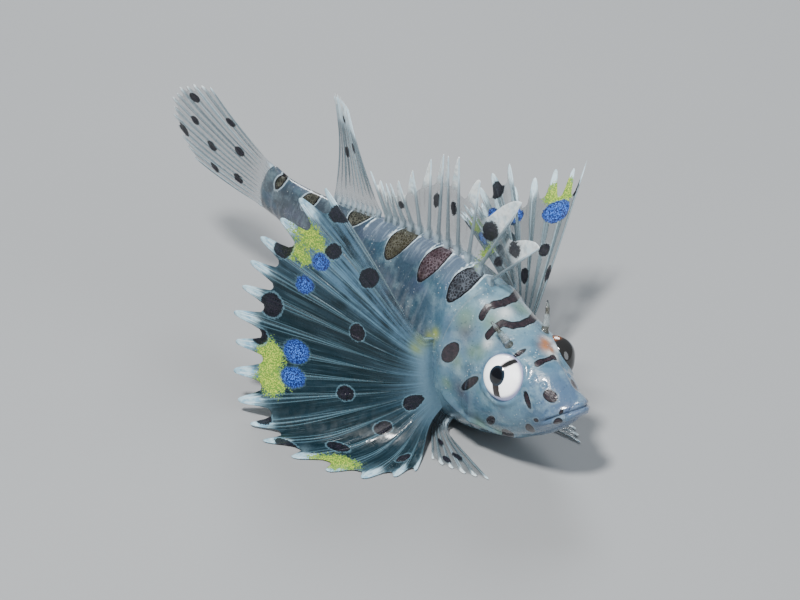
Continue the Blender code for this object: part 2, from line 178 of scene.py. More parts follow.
# %% A helper for pieces
def add_piece(name, points, faces, marks, finish):
    """A smooth mesh from points in drawing millimetres, with point attributes and a material."""
    mesh = bpy.data.meshes.new(name)
    placed = (np.asarray(points).reshape(-1, 3) + SHIFT) * MM
    mesh.from_pydata(placed.tolist(), [], [list(face) for face in faces])
    for label, values in marks.items():
        layer = mesh.attributes.new(label, "FLOAT", "POINT")
        layer.data.foreach_set("value", np.asarray(values, np.float32).ravel())
    shell = bmesh.new()
    shell.from_mesh(mesh)
    bmesh.ops.recalc_face_normals(shell, faces=shell.faces)
    shell.to_mesh(mesh)
    shell.free()
    mesh.shade_smooth()
    mesh.materials.append(finish)
    piece = bpy.data.objects.new(name, mesh)
    bpy.context.scene.collection.objects.link(piece)
    print(name, "has", sum(len(p.vertices) - 2 for p in mesh.polygons), "triangles")
    return piece


def quads(rows, columns, wrap=False):
    """Faces of a grid of points, one row after the other, closed round each row if wrap."""
    r, c = np.meshgrid(np.arange(rows - 1), np.arange(columns if wrap else columns - 1),
                       indexing="ij")
    a, b = r * columns + c, r * columns + (c + 1) % columns
    return np.stack([a, b, b + columns, a + columns], -1).reshape(-1, 4)


def closed_tube(rings, spokes):
    """Faces of a tube of rings whose ends are fans round two more points, one at each end."""
    faces = quads(rings, spokes, wrap=True).tolist()
    first, last = rings * spokes, (rings - 1) * spokes
    for k in range(spokes):
        faces.append([first, (k + 1) % spokes, k])
        faces.append([first + 1, last + k, last + (k + 1) % spokes])
    return faces


print("a closed tube of 3 rings of 4 points has", len(closed_tube(3, 4)), "faces")

# %% [markdown]
# ## Nodes for materials
# A material is a graph of nodes. These helpers add a node, set its inputs and return its output,
# so that a graph can be written down like a formula. Patterns are measured in millimetres, which
# is the scale that spots and grain have on a fish of this size.

# %% Helpers for material graphs
def feed(tree, made, inputs):
    """Gives a node its inputs: what comes from another node is linked, a plain value is set."""
    for key, value in inputs.items():
        if isinstance(value, bpy.types.NodeSocket):
            tree.links.new(value, made.inputs[key])
        else:
            made.inputs[key].default_value = value
    return made


def node(tree, kind, inputs, **settings):
    """A new node with its settings and inputs."""
    made = tree.nodes.new("ShaderNode" + kind)
    for key, value in settings.items():
        setattr(made, key, value)
    return feed(tree, made, inputs)


def calc(tree, operation, *values, clamp=False):
    """One step of arithmetic."""
    inputs = dict(enumerate(values))
    return node(tree, "Math", inputs, operation=operation, use_clamp=clamp).outputs[0]


def times(tree, first, *others):
    """Values multiplied one after the other."""
    for other in others:
        first = calc(tree, "MULTIPLY", first, other)
    return first


def blend(tree, share, first, second):
    """The first colour, mixed towards the second by a share."""
    return node(tree, "Mix", {0: share, 6: first, 7: second}, data_type="RGBA").outputs[2]


def lay(tree, under, over, *shares):
    """A colour laid over another, as strongly as the product of some shares."""
    return blend(tree, times(tree, *shares), under, over)


def step(tree, value, low, high, to_low=0.0, to_high=1.0):
    """A value between low and high, turned into a soft step."""
    inputs = {"Value": value, "From Min": low, "From Max": high, "To Min": to_low,
              "To Max": to_high}
    return node(tree, "MapRange", inputs, interpolation_type="SMOOTHSTEP").outputs[0]


def mark(tree, label):
    """An attribute of the piece."""
    return node(tree, "Attribute", {}, attribute_name=label).outputs["Fac"]


def place_mm(tree):
    """Where a point lies on its piece, in millimetres."""
    spot = node(tree, "TexCoord", {}).outputs["Object"]
    scaled = node(tree, "VectorMath", {0: spot, "Scale": 1 / MM}, operation="SCALE")
    return scaled.outputs[0]


def noise(tree, scale, detail=3.0, rough=0.5):
    """A cloudy value: the scale counts its clouds per millimetre."""
    inputs = {"Vector": place_mm(tree), "Scale": scale, "Detail": detail, "Roughness": rough}
    return node(tree, "TexNoise", inputs).outputs["Fac"]


def new_group(name, inputs, outputs):
    """An empty node group with named number sockets."""
    tree = bpy.data.node_groups.new(name, "ShaderNodeTree")
    for label, value in inputs.items():
        socket = tree.interface.new_socket(label, in_out="INPUT", socket_type="NodeSocketFloat")
        socket.default_value = value
    for label in outputs:
        tree.interface.new_socket(label, in_out="OUTPUT", socket_type="NodeSocketFloat")
    return tree, tree.nodes.new("NodeGroupInput"), tree.nodes.new("NodeGroupOutput")


def use_group(tree, group, inputs):
    """A group placed in a material; it gives back the group's outputs."""
    made = tree.nodes.new("ShaderNodeGroup")
    made.node_tree = group
    return feed(tree, made, inputs).outputs


def new_material(name, **constants):
    """A material with its shader, whose plain numbers are set on the shader itself."""
    made = bpy.data.materials.new(name)
    made.use_nodes = True
    shader = made.node_tree.nodes["Principled BSDF"]
    for key, value in constants.items():
        shader.inputs[key.replace("_", " ")].default_value = value
    return made, made.node_tree, shader


def fine_relief(tree, height, strength, deep):
    """Relief too fine for the mesh, as a bump that is so many millimetres deep."""
    inputs = {"Height": height, "Strength": strength, "Distance": deep * MM}
    return node(tree, "Bump", inputs).outputs[0]


print("material helpers ready")

# %% [markdown]
# ## Pigment
# A fish's spot is a crowd of tiny pigment cells. It is densest in the middle, and at its edge it
# breaks up into single dots. One group does this for every spot: from the distance inside the
# spot, in millimetres, it makes a mask with a stippled edge, and another for the dark rim.

# %% A group for spots of pigment
SPOT, GIVEN, MADE = new_group(
    "pigment spot", {"Inside": 0.0, "Ragged": 0.05, "Cells": 9.0, "Rim": 0.12},
    ("Mask", "Rim", "Cells")
)
cells = node(SPOT, "TexVoronoi", {"Vector": place_mm(SPOT), "Scale": GIVEN.outputs["Cells"]})
cell_edge = node(
    SPOT, "TexVoronoi", {"Vector": place_mm(SPOT), "Scale": GIVEN.outputs["Cells"]},
    feature="DISTANCE_TO_EDGE",
)
wave = calc(SPOT, "SUBTRACT", noise(SPOT, 3.0), 0.5)
dots = calc(SPOT, "SUBTRACT", 0.42, cells.outputs["Distance"])
stir = times(SPOT, calc(SPOT, "ADD", times(SPOT, wave, 1.6), dots), GIVEN.outputs["Ragged"])
inside = calc(SPOT, "ADD", GIVEN.outputs["Inside"], stir)
SPOT.links.new(step(SPOT, inside, -0.012, 0.018), MADE.inputs["Mask"])
rim_share = calc(SPOT, "DIVIDE", inside, GIVEN.outputs["Rim"])
SPOT.links.new(step(SPOT, rim_share, 0.35, 1.0, 1.0, 0.0), MADE.inputs["Rim"])
SPOT.links.new(step(SPOT, cell_edge.outputs["Distance"], 0.02, 0.16, 1.0, 0.0),
               MADE.inputs["Cells"])


def pigment(tree, inside, ragged, cells=9.0, rim=0.12):
    """The masks of a spot: the spot itself, its dark rim and the net between its cells."""
    return use_group(tree, SPOT, {"Inside": inside, "Ragged": ragged, "Cells": cells, "Rim": rim})


print("sockets of the pigment group:", [s.name for s in SPOT.interface.items_tree])

# %% [markdown]
# ## Where the spots of the skin are
# Each spot is an ellipse in the plane that touches the skin there: its place behind the snout and
# round the body, and its two half axes, each as so much towards the tail and so much up. The
# saddles over the back are too large for a flat plane, so they are measured along the skin, down
# from the ridge of the back. The left side is the same with small differences, as on a real fish.

# %% Spots and saddles
SKIN_SPOTS = [
    (6.83, 288, -0.16, -0.62, -0.42, -0.05), (5.33, 273, -0.54, -0.60, -0.22, 0.09),
    (4.13, 243, -0.15, -0.34, -0.40, -0.16), (3.47, 222, -0.18, 0.27, 0.34, 0.28),
    (1.85, 237, -0.16, 0.23, 0.28, 0.30), (1.91, 291, 0.34, -0.33, -0.12, -0.10),
    (0.95, 318, -0.44, -0.05, -0.02, 0.29), (0.24, 262, -0.25, -0.10, -0.05, 0.19),
    (6.05, 334, 0.10, -0.43, -0.17, -0.05), (3.45, 333, -0.03, -0.40, -0.13, 0.00),
    (0.20, 300, 0.03, 0.16, -0.10, 0.02), (1.25, 262, 0.16, 0.04, -0.03, 0.12),
]
# Bars over the snout and the nape: half of the width, and corners, each as its distance behind the
# snout and its way down from the ridge, where the right side is minus.
NAPE_BARS = [
    (0.165, [(2.52, -0.68), (2.48, -0.46)]),
    (0.125, [(2.48, -0.46), (2.40, -0.05), (2.44, 0.30)]),
    (0.165, [(2.44, 0.30), (2.46, 0.54)]),
    (0.19, [(6.02, -1.36), (6.08, -0.90)]),
    (0.20, [(5.95, -0.56), (5.76, -0.14), (5.86, 0.50), (6.30, 1.15), (6.80, 1.80)]),
    (0.18, [(5.22, -1.70), (5.15, -1.20), (5.03, -0.74), (4.62, -0.45),
            (4.46, 0.0), (4.62, 0.65), (5.05, 1.30), (5.55, 1.95)]),
]
# Saddles over the back and pale panels between them: distance, way down, half length, half height.
SADDLES = [(7.94, -0.92, 0.60, 1.26), (10.36, -0.95, 0.71, 1.28), (13.35, -0.70, 0.80, 1.24),
           (16.95, -0.14, 0.66, 0.86), (20.2, -0.46, 0.44, 0.62), (22.3, -0.40, 0.26, 0.52)]
PANELS = [(9.14, -0.66, 0.64, 1.05), (11.84, -0.66, 0.78, 1.00), (15.15, -0.50, 0.98, 0.80)]
OUTSIDE, SPOT_DEPTH = -1.0, 0.9


def flat_spots(points, spots, mirror):
    """How far each point lies inside the nearest of some ellipses that touch the skin, in mm."""
    best = np.full(points.shape[:-1], OUTSIDE)
    for s, turn, a_back, a_up, b_back, b_up in spots:
        if mirror:
            turn, s = 360 - turn, s * 0.985 + 0.05
        centre, ahead = body_point(s, turn), body_point(s + 0.05, turn)
        along = (ahead - centre) / np.linalg.norm(ahead - centre)
        beside = body_point(s, turn + 1) - centre
        out = np.cross(along, beside)
        out *= 1 if out @ (centre - axis_point(s)) > 0 else -1
        out /= np.linalg.norm(out)
        up = np.cross(out, along) * (-1 if mirror else 1)
        away = points - centre
        x, y, depth = away @ along, away @ up, np.abs(away @ out)
        area = a_back * b_up - a_up * b_back
        first, second = (x * b_up - y * b_back) / area, (y * a_back - x * a_up) / area
        small = min(math.hypot(a_back, a_up), math.hypot(b_back, b_up))
        inside = (1 - np.hypot(first, second)) * small
        best = np.maximum(best, np.where(depth < SPOT_DEPTH, inside, OUTSIDE))
    return best


def saddle_marks(along, down, saddles, square=2.1, pointed=0.35):
    """How far each point lies inside the nearest saddle, in mm, from its place on the skin."""
    best = np.full(along.shape, OUTSIDE)
    for s, below, half_long, half_high in saddles:
        lean = 0.12 * (down - below)
        x, y = (along - s + lean) / half_long, (down - below) / half_high
        x = x * (1 + pointed * y * y)
        inside = 1 - (np.abs(x) ** square + np.abs(y) ** square) ** (1 / square)
        best = np.maximum(best, inside * min(half_long, half_high))
    return best


def bar_marks(along, down, bars):
    """How far each point lies inside the nearest bar, in mm: a bar is a wavy line with a width."""
    best = np.full(along.shape, OUTSIDE)
    for half, corners in bars:
        for (s1, d1), (s2, d2) in zip(corners, corners[1:]):
            way = np.array([s2 - s1, d2 - d1])
            share = np.clip(((along - s1) * way[0] + (down - d1) * way[1]) / (way @ way), 0, 1)
            off = np.hypot(along - s1 - share * way[0], down - d1 - share * way[1])
            best = np.maximum(best, half - off)
    return best


print(len(SKIN_SPOTS), "spots on each side,", len(SADDLES), "saddles")

# %% [markdown]
# ## The relief of the skin
# On a real head the lips swell round the line of the mouth, each eye sits in a soft rim, two short
# tubes on each side of the snout are the nostrils, and the gill cover ends in a thin free edge.
# These are small enough to press into a fine skin: each is a height, in millimetres, by which the
# skin moves out or in.

# %% Relief of the head and body
NOSTRILS = ((1.55, 38), (2.15, 44))
LEFT_SOCKET_SIZE = 1.10


def mouth_line(x_back):
    """The height of the mouth over the axis: it slopes down towards the jaw's joint."""
    return 0.40 - 0.62 * x_back


def gill_edge(turn):
    """Where the gill covers end: furthest back on the sides, and forward again under the throat."""
    side, low = np.abs(np.sin(np.radians(turn))), np.maximum(-np.cos(np.radians(turn)), 0)
    throat = np.minimum(10.0 * np.maximum(low - 0.2, 0) ** 2, 3.4)
    return HEAD_LENGTH - GILL_SWEEP / 2 + GILL_SWEEP * side ** 1.5 - throat


def eye_axis(sign):
    """The direction in which an eye's socket opens."""
    return np.array([0.151, sign * 0.954, 0.259])


def bump(value, width):
    """A soft hill, 1 in its middle."""
    return np.exp(-((value / width) ** 2))


def skin_relief(s, turn, points):
    """How far each point of the skin moves out, in mm."""
    side = np.abs(np.sin(np.radians(turn)))
    off_mouth = points[..., 2] - FLOOR_TO_AXIS - mouth_line(-points[..., 0])
    lips = 0.065 * bump(np.abs(off_mouth) - 0.20, 0.14) * eased((1.4 - s) / 0.7)
    slit = -0.11 * bump(off_mouth, 0.05) * eased((1.0 - s) / 0.4)
    ridge = 0.12 * bump(s - 5.3 + 0.7 * np.cos(np.radians(turn)), 0.28) * side**2
    edge = gill_edge(turn)
    cover = 0.17 * eased((s - edge + 0.9) / 0.8) * side * eased((edge + 0.09 - s) / 0.12)
    fold = -0.06 * bump(s - edge - 0.16, 0.08) * side
    relief = lips + slit + ridge + cover + fold
    for sign in (1, -1):
        away = points - eye_seat(sign)
        out = away @ eye_axis(sign)
        round_eye = np.linalg.norm(away - out[..., None] * eye_axis(sign), axis=-1)
        round_eye *= LEFT_SOCKET_SIZE if sign > 0 else 1.0
        rim = 0.07 * bump(round_eye - 1.22, 0.12) - 0.36 * eased((1.10 - round_eye) / 0.14)
        relief = relief + np.where(out > -0.2, rim, 0.0)
        for at, angle in NOSTRILS:
            off = np.linalg.norm(points - body_point(at, sign * angle), axis=-1)
            relief = relief + 0.05 * eased((0.22 - off) / 0.14) - 0.09 * eased((0.12 - off) / 0.10)
    blocks = np.sin(2 * math.pi * (s + 0.35 * np.abs(np.cos(np.radians(turn)) * 2)) / 0.62)
    return relief + 0.012 * blocks * eased((s - 8.2) / 1.5) * side


print("gill cover ends at (mm):", round(float(gill_edge(90.0)), 2))

# %% [markdown]
# ## The skin
# The head, the trunk and the tail's stem are one skin, because no seam shows on a real fish. It is
# a loft with fine rings, closed by a rounded snout in front and a rounded end inside the tail fin,
# and then moved by the relief along its own normals. The snout is a little shorter and narrower
# than the solid one. The marks are measured on the skin before that, so they move with it.

# %% Build the skin's points
AROUND, CAP_RINGS = 224, 12
SNOUT_SHORTER, NARROWER_LEFT, NARROWER_RIGHT = 0.30, 0.46, 0.10


def skin_rings():
    """The distances and turns of the skin's points, and their places before the relief."""
    s = np.concatenate([np.arange(0.0, 8.6, 0.055), np.arange(8.6, 22.95, 0.11), [STANDARD_LENGTH]])
    turn = np.arange(AROUND) * 360.0 / AROUND
    grid_s, grid_turn = np.meshgrid(s, turn, indexing="ij")
    main = body_point(grid_s, grid_turn)
    nose = axis_point(0.0) + np.array([0, 0, 0.35])
    tail = axis_point(STANDARD_LENGTH)
    back = directions(np.array(STANDARD_LENGTH))[0]
    swell = np.radians(np.linspace(4, 86, CAP_RINGS))[:, None, None]
    front = nose + (main[0] - nose) * np.sin(swell) + np.array([0.24, 0, 0]) * np.cos(swell)
    rear = tail + (main[-1] - tail) * np.cos(swell) + back * 0.5 * np.sin(swell)
    points = np.concatenate([front, main, rear])
    ends = np.zeros((CAP_RINGS, AROUND))
    grid_s = np.concatenate([ends, grid_s, ends + STANDARD_LENGTH])
    grid_turn = np.concatenate([ends + turn, grid_turn, ends + turn])
    return grid_s, grid_turn, points


skin_s, skin_turn, skin_points = skin_rings()
across = np.roll(skin_points, -1, axis=1) - np.roll(skin_points, 1, axis=1)
normals = np.cross(across, np.gradient(skin_points, axis=0))
normals /= np.linalg.norm(normals, axis=-1, keepdims=True)
middle = skin_points.mean(axis=1, keepdims=True)
normals *= np.sign(((skin_points - middle) * normals).sum(-1).mean())
relief = skin_relief(skin_s, skin_turn, skin_points)
skin_flat = skin_points
skin_points = skin_points + normals * relief[..., None]
skin_points[..., 0] -= SNOUT_SHORTER * eased((2.6 - skin_s) / 2.6)
narrow = eased((skin_s - 0.1) / 0.9) * eased((3.5 - skin_s) / 1.3)
leftward = np.sin(np.radians(skin_turn))
inwards = NARROWER_LEFT * eased(leftward / 0.7) - NARROWER_RIGHT * eased(-leftward / 0.7)
skin_points[..., 1] -= narrow * inwards
skin_points[..., 2] = np.maximum(skin_points[..., 2], 0.0)
print("skin rings:", skin_points.shape[:2], "relief (mm):", relief.min().round(2),
      relief.max().round(2))

# %% Measure the marks on the skin
step_length = np.linalg.norm(np.roll(skin_flat, -1, axis=1) - skin_flat, axis=-1)
around = np.concatenate([np.zeros((len(skin_flat), 1)), np.cumsum(step_length, axis=1)[:, :-1]],
                        axis=1)
total = step_length.sum(axis=1, keepdims=True)
down = np.where(around > total / 2, around - total, around)
right_marks = flat_spots(skin_flat, SKIN_SPOTS, False)
left_marks = flat_spots(skin_flat, [row for row in SKIN_SPOTS if 30 < row[1] < 330], True)
bars = bar_marks(skin_s, down, NAPE_BARS)
spots = np.maximum(np.maximum(right_marks, left_marks), bars)
left_saddles = [(s + 0.12, *rest) for s, *rest in SADDLES]
saddles = np.maximum(saddle_marks(skin_s, down, SADDLES),
                     saddle_marks(skin_s, 0.05 - down, left_saddles))
panels = np.maximum(*(saddle_marks(skin_s, way, PANELS, 3.2, 0.0) for way in (down, -down)))
free_edge = bump(skin_s - gill_edge(skin_turn) - 0.05, 0.06) * np.abs(leftward) ** 1.5
SKIN_MARKS = {
    "spots": spots, "saddles": saddles, "panels": panels, "along": skin_s, "down": np.abs(down),
    "free_edge": free_edge,
}
print("share of the skin under dark spots:", round(float((spots > 0).mean()), 3))

# %% [markdown]
# ## The finish of the flesh
# Young lionfish flesh is wet, cloudy jelly: light goes a little way in and comes out softened. That
# calls for subsurface scattering under a clear coat. The colour is bluish white over the head and
# slate blue over the flanks. The saddles are slate, plum and olive, one after the other; a pale net
# runs through each, and a white line goes round it.

# %% The flesh material
FLESH, tree, shader = new_material(
    "wet_flesh", Subsurface_Weight=0.18, Subsurface_Scale=0.0003, Coat_Weight=0.7,
    Coat_Roughness=0.05, IOR=1.36, Subsurface_Radius=(0.9, 1.0, 1.15),
)
along, high = mark(tree, "along"), mark(tree, "down")
cloud = noise(tree, 0.55, 4.0, 0.6)
flank = step(tree, calc(tree, "ADD", along, times(tree, cloud, 2.0)), 7.4, 11.5)
stem = step(tree, along, 14.0, 19.0)
tone = blend(tree, flank, (0.118, 0.238, 0.335, 1), (0.036, 0.070, 0.108, 1))
tone = blend(tree, stem, tone, (0.046, 0.064, 0.084, 1))
front = step(tree, along, 9.5, 7.5)
nape = times(tree, step(tree, high, 2.6, 0.6), times(tree, step(tree, along, 3.0, 4.6), front))
tone = lay(tree, tone, (0.165, 0.285, 0.350, 1), nape, 0.72)
tone = blend(tree, step(tree, along, 2.8, 0.8, 0.0, 0.75), tone, (0.082, 0.130, 0.230, 1))
belly = times(tree, step(tree, high, 5.2, 7.4), front)
tone = lay(tree, tone, (0.25, 0.42, 0.50, 1), belly, 0.5)
deep = times(tree, step(tree, noise(tree, 0.7, 3.0, 0.55), 0.50, 0.66),
             step(tree, along, 0.4, 2.0, 0.3, 1.0))
tone = lay(tree, tone, (0.036, 0.098, 0.150, 1), deep, 0.6)
milky = step(tree, noise(tree, 1.1, 5.0, 0.62), 0.46, 0.74)
tone = lay(tree, tone, (0.37, 0.54, 0.62, 1), milky, calc(tree, "MULTIPLY_ADD", front, 0.25, 0.28))
violet = step(tree, noise(tree, 0.8, 2.0), 0.5, 0.75)
tone = lay(tree, tone, (0.120, 0.135, 0.245, 1), violet, 0.34)
inner = lay(tree, tone, (0.085, 0.042, 0.050, 1), mark(tree, "inner"), 0.6)
tint = lay(tree, inner, (0.20, 0.30, 0.13, 1), mark(tree, "green"), 0.45)
tint = lay(tree, tint, (0.36, 0.44, 0.09, 1), mark(tree, "yellow"), 0.85)
tint = lay(tree, tint, (0.78, 0.84, 0.84, 1), mark(tree, "pale"), 0.75)
tint = lay(tree, tint, (0.42, 0.160, 0.050, 1), mark(tree, "rust"), 0.9)
combed = node(tree, "CombineXYZ", {"X": times(tree, along, 6.0), "Y": times(tree, high, 0.9)})
strands = node(tree, "TexNoise", {"Vector": combed.outputs[0], "Scale": 1.0, "Detail": 3.0})
threads = step(tree, strands.outputs["Fac"], 0.52, 0.64)
woven = times(tree, threads, flank, step(tree, noise(tree, 0.6, 2.0), 0.40, 0.62, 0.05, 0.34))
tint = blend(tree, woven, tint, (0.20, 0.27, 0.34, 1))
dots = node(tree, "TexVoronoi", {"Vector": place_mm(tree), "Scale": 5.0, "Randomness": 1.0})
dot_share = step(tree, noise(tree, 1.3, 3.0), 0.42, 0.60, 0.05, 0.38)
stipple = times(tree, step(tree, dots.outputs["Distance"], 0.30, 0.14), dot_share)
tint = blend(tree, stipple, tint, (0.030, 0.052, 0.085, 1))
specks = node(tree, "TexVoronoi", {"Vector": place_mm(tree), "Scale": 5.5, "Randomness": 1.0})
glint = times(tree, step(tree, specks.outputs["Distance"], 0.19, 0.10),
              step(tree, noise(tree, 0.9), 0.48, 0.6))
tint = lay(tree, tint, (0.80, 0.86, 0.90, 1), glint, 0.6)
print("nodes for the tints of the flesh:", len(tree.nodes))

# %% Pigment on the flesh
edge_line = times(tree, mark(tree, "free_edge"), 0.5)
tint = blend(tree, edge_line, tint, (0.78, 0.86, 0.90, 1))
panel = pigment(tree, mark(tree, "panels"), 0.03, 11.0, 0.16)
sheen = times(tree, panel["Mask"], step(tree, high, 1.8, 0.7, 0.1, 0.75))
tint = blend(tree, sheen, tint, (0.120, 0.160, 0.225, 1))
tint = lay(tree, tint, (0.33, 0.42, 0.52, 1), threads, sheen, 0.5)
fringe = times(tree, panel["Mask"], panel["Rim"])
dusty = step(tree, noise(tree, 7.0, 2.0), 0.38, 0.58)
crown = step(tree, high, 0.55, 1.15, 1.0, 0.0)
tint = lay(tree, tint, (0.70, 0.84, 0.92, 1), fringe, dusty, crown)
halo_in = calc(tree, "ADD", mark(tree, "saddles"), step(tree, high, 0.2, 2.0, 0.085, 0.03))
halo = pigment(tree, halo_in, 0.035, 12.0, 0.1)
halo_share = times(tree, step(tree, high, 0.5, 1.7, 0.9, 0.12),
                   step(tree, along, 15.5, 18.5, 1.0, 0.5))
tint = lay(tree, tint, (0.62, 0.78, 0.88, 1), halo["Mask"], halo_share)
saddle = pigment(tree, mark(tree, "saddles"), 0.03, 6.4, 0.13)
brown = blend(tree, step(tree, along, 9.0, 9.4), (0.022, 0.026, 0.034, 1), (0.047, 0.027, 0.034, 1))
brown = blend(tree, step(tree, along, 11.6, 12.2), brown, (0.040, 0.037, 0.020, 1))
brown = blend(tree, step(tree, along, 15.2, 15.8), brown, (0.030, 0.034, 0.026, 1))
grain = step(tree, noise(tree, 9.0, 2.0), 0.42, 0.6)
brown = lay(tree, brown, (0.014, 0.009, 0.012, 1), grain, 0.5)
net = times(tree, saddle["Cells"], step(tree, noise(tree, 2.2), 0.30, 0.6, 0.15, 0.75))
lace = blend(tree, step(tree, along, 9.0, 9.4), (0.150, 0.175, 0.210, 1), (0.205, 0.165, 0.190, 1))
lace = blend(tree, step(tree, along, 11.6, 12.2), lace, (0.150, 0.150, 0.120, 1))
brown = blend(tree, net, brown, lace)
brown = lay(tree, brown, (0.004, 0.003, 0.005, 1), saddle["Rim"], 0.9)
tint = blend(tree, saddle["Mask"], tint, brown)
ring_in = calc(tree, "ADD", mark(tree, "spots"), 0.07)
ring = pigment(tree, ring_in, 0.03, 12.0, 0.1)
tint = lay(tree, tint, (0.34, 0.42, 0.46, 1), ring["Mask"], 0.22)
spot = pigment(tree, mark(tree, "spots"), 0.022, 12.0, 0.08)
maroon = blend(tree, step(tree, noise(tree, 6.0), 0.4, 0.62), (0.013, 0.005, 0.009, 1),
               (0.030, 0.013, 0.018, 1))
maroon = blend(tree, spot["Rim"], maroon, (0.003, 0.0015, 0.003, 1))
tint = lay(tree, tint, maroon, spot["Mask"], 0.96)
tree.links.new(tint, shader.inputs["Base Color"])
print("nodes with the pigment:", len(tree.nodes))

# %% Wet shine and fine relief of the flesh
wet = step(tree, noise(tree, 2.6, 3.0), 0.3, 0.7, 0.17, 0.32)
tree.links.new(wet, shader.inputs["Roughness"])
pores = calc(tree, "ADD", noise(tree, 6.5, 4.0), times(tree, noise(tree, 1.6, 3.0), 1.5))
tree.links.new(fine_relief(tree, pores, 0.35, 0.04), shader.inputs["Normal"])
print("flesh material has", len(tree.nodes), "nodes")

# %% [markdown]
# ## Warmth under the skin
# Through the clear flesh the gills and the gut show as soft, warm shadows. A streak of yellow lies
# at the base of each pectoral fin, and a rusty patch among milky ones on the forehead. They have no
# edge, so each is only a soft hill of weight round a place on the skin.

# %% Put the skin together
def soft_hills(points, hills):
    """A weight that falls off softly round each of some places: distance, turn, reach."""
    weight = np.zeros(points.shape[:-1])
    for s, turn, reach in hills:
        away = np.linalg.norm(points - body_point(s, turn), axis=-1)
        weight = np.maximum(weight, bump(away, reach))
    return weight


SOFT_PLACES = {
    "inner": [(6.4, 309, 0.55), (6.4, 51, 0.55), (5.9, 262, 0.6), (5.9, 98, 0.6), (2.9, 14, 0.45)],
    "yellow": [(8.45, 286, 0.34), (8.15, 292, 0.26), (8.45, 74, 0.34), (8.15, 68, 0.26)],
    "green": [(6.7, 318, 0.55), (5.5, 332, 0.5), (5.2, 305, 0.45), (5.0, 232, 0.5), (5.4, 20, 0.6),
              (6.4, 285, 0.4), (5.6, 300, 0.4), (3.9, 226, 0.4), (6.9, 262, 0.3)],
    "rust": [(3.10, 10, 0.31), (3.34, 15, 0.32), (2.92, 18, 0.22)],
    "pale": [(2.72, 12, 0.32), (2.55, 22, 0.34), (3.05, 27, 0.30), (3.5, 22, 0.25),
             (5.35, 350, 0.35), (5.0, 316, 0.28)],
}
for label, hills in SOFT_PLACES.items():
    SKIN_MARKS[label] = soft_hills(skin_flat, hills)


def build_skin():
    """The one skin, with its marks, in place of the head, the trunk and the tail's stem."""
    tips = np.array([skin_points[0].mean(axis=0) + [0.02, 0, 0], skin_points[-1].mean(axis=0)])
    points = np.concatenate([skin_points.reshape(-1, 3), tips])
    faces = closed_tube(len(skin_points), AROUND)
    marks = {label: np.append(values.ravel(), [values[0, 0], values[-1, 0]])
             for label, values in SKIN_MARKS.items()}
    skin = add_piece("skin", points, faces, marks, FLESH)
    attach(skin, "root")
    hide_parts("head", "trunk", "tail_stem")


build_skin()

# %% [markdown]
# ## How a fin is built
# A fin is a clear sheet stretched between rays. It could be a flat plane with a picture on it, but
# the rays stand up as ridges and the margin is cut into fingers or flags, and that has to be in the
# mesh. Each fin is one formula for a point of its sheet: u runs from the root to the tip of a ray,
# and v counts the rays. The mesh is that sheet twice, its two faces pushed apart by half of the
# thickness there, and closed round the rim.

# %% The fin maker
SINK = 0.07
SPOT_KINDS = ("dark", "blue", "yellow")
COLUMN_STEPS = np.array([0, .05, .10, .16, .24, .34, .45, .55, .66, .76, .84, .90, .95])


def between_marks(marks, v):
    """A value between two neighbours of a row of marks."""
    return np.interp(v, np.arange(len(marks)), np.asarray(marks, float))


def through_three(first, middle, last, share):
    """A value on the curve through three values, at shares 0, 0.5 and 1."""
    a, b, c = 2 * (share - 0.5) * (share - 1), 4 * share * (1 - share), 2 * share * (share - 0.5)
    if np.ndim(first):
        a, b, c = a[..., None], b[..., None], c[..., None]
    return first * a + middle * b + last * c


def unit(vectors):
    """Vectors of length 1."""
    return vectors / np.linalg.norm(vectors, axis=-1, keepdims=True)


def ellipse_marks(u, v, ellipses):
    """How far each place of a fin lies inside the nearest of some ellipses, in about mm."""
    best = np.full(u.shape, OUTSIDE)
    for at_v, at_u, wide, long in ellipses:
        inside = (1 - np.hypot((v - at_v) / wide, (u - at_u) / long)) * min(wide * 0.6, long * 8.0)
        best = np.maximum(best, inside)
    return best


def fin_grid(point, rays, rows, reach):
    """The places, in u and v, of a fin's sheet, and its points."""
    v = np.append((np.arange(rays - 1)[:, None] + COLUMN_STEPS).ravel(), rays - 1.0)
    share = np.concatenate([np.linspace(-SINK, 0, 4)[:-1], np.linspace(0, 1, rows + 1)])
    grid_v, grid_share = np.meshgrid(v, share, indexing="ij")
    grid_u = np.where(grid_share > 0, grid_share * reach(grid_v), grid_share)
    return grid_u, grid_v, grid_share, point(grid_u, grid_v)


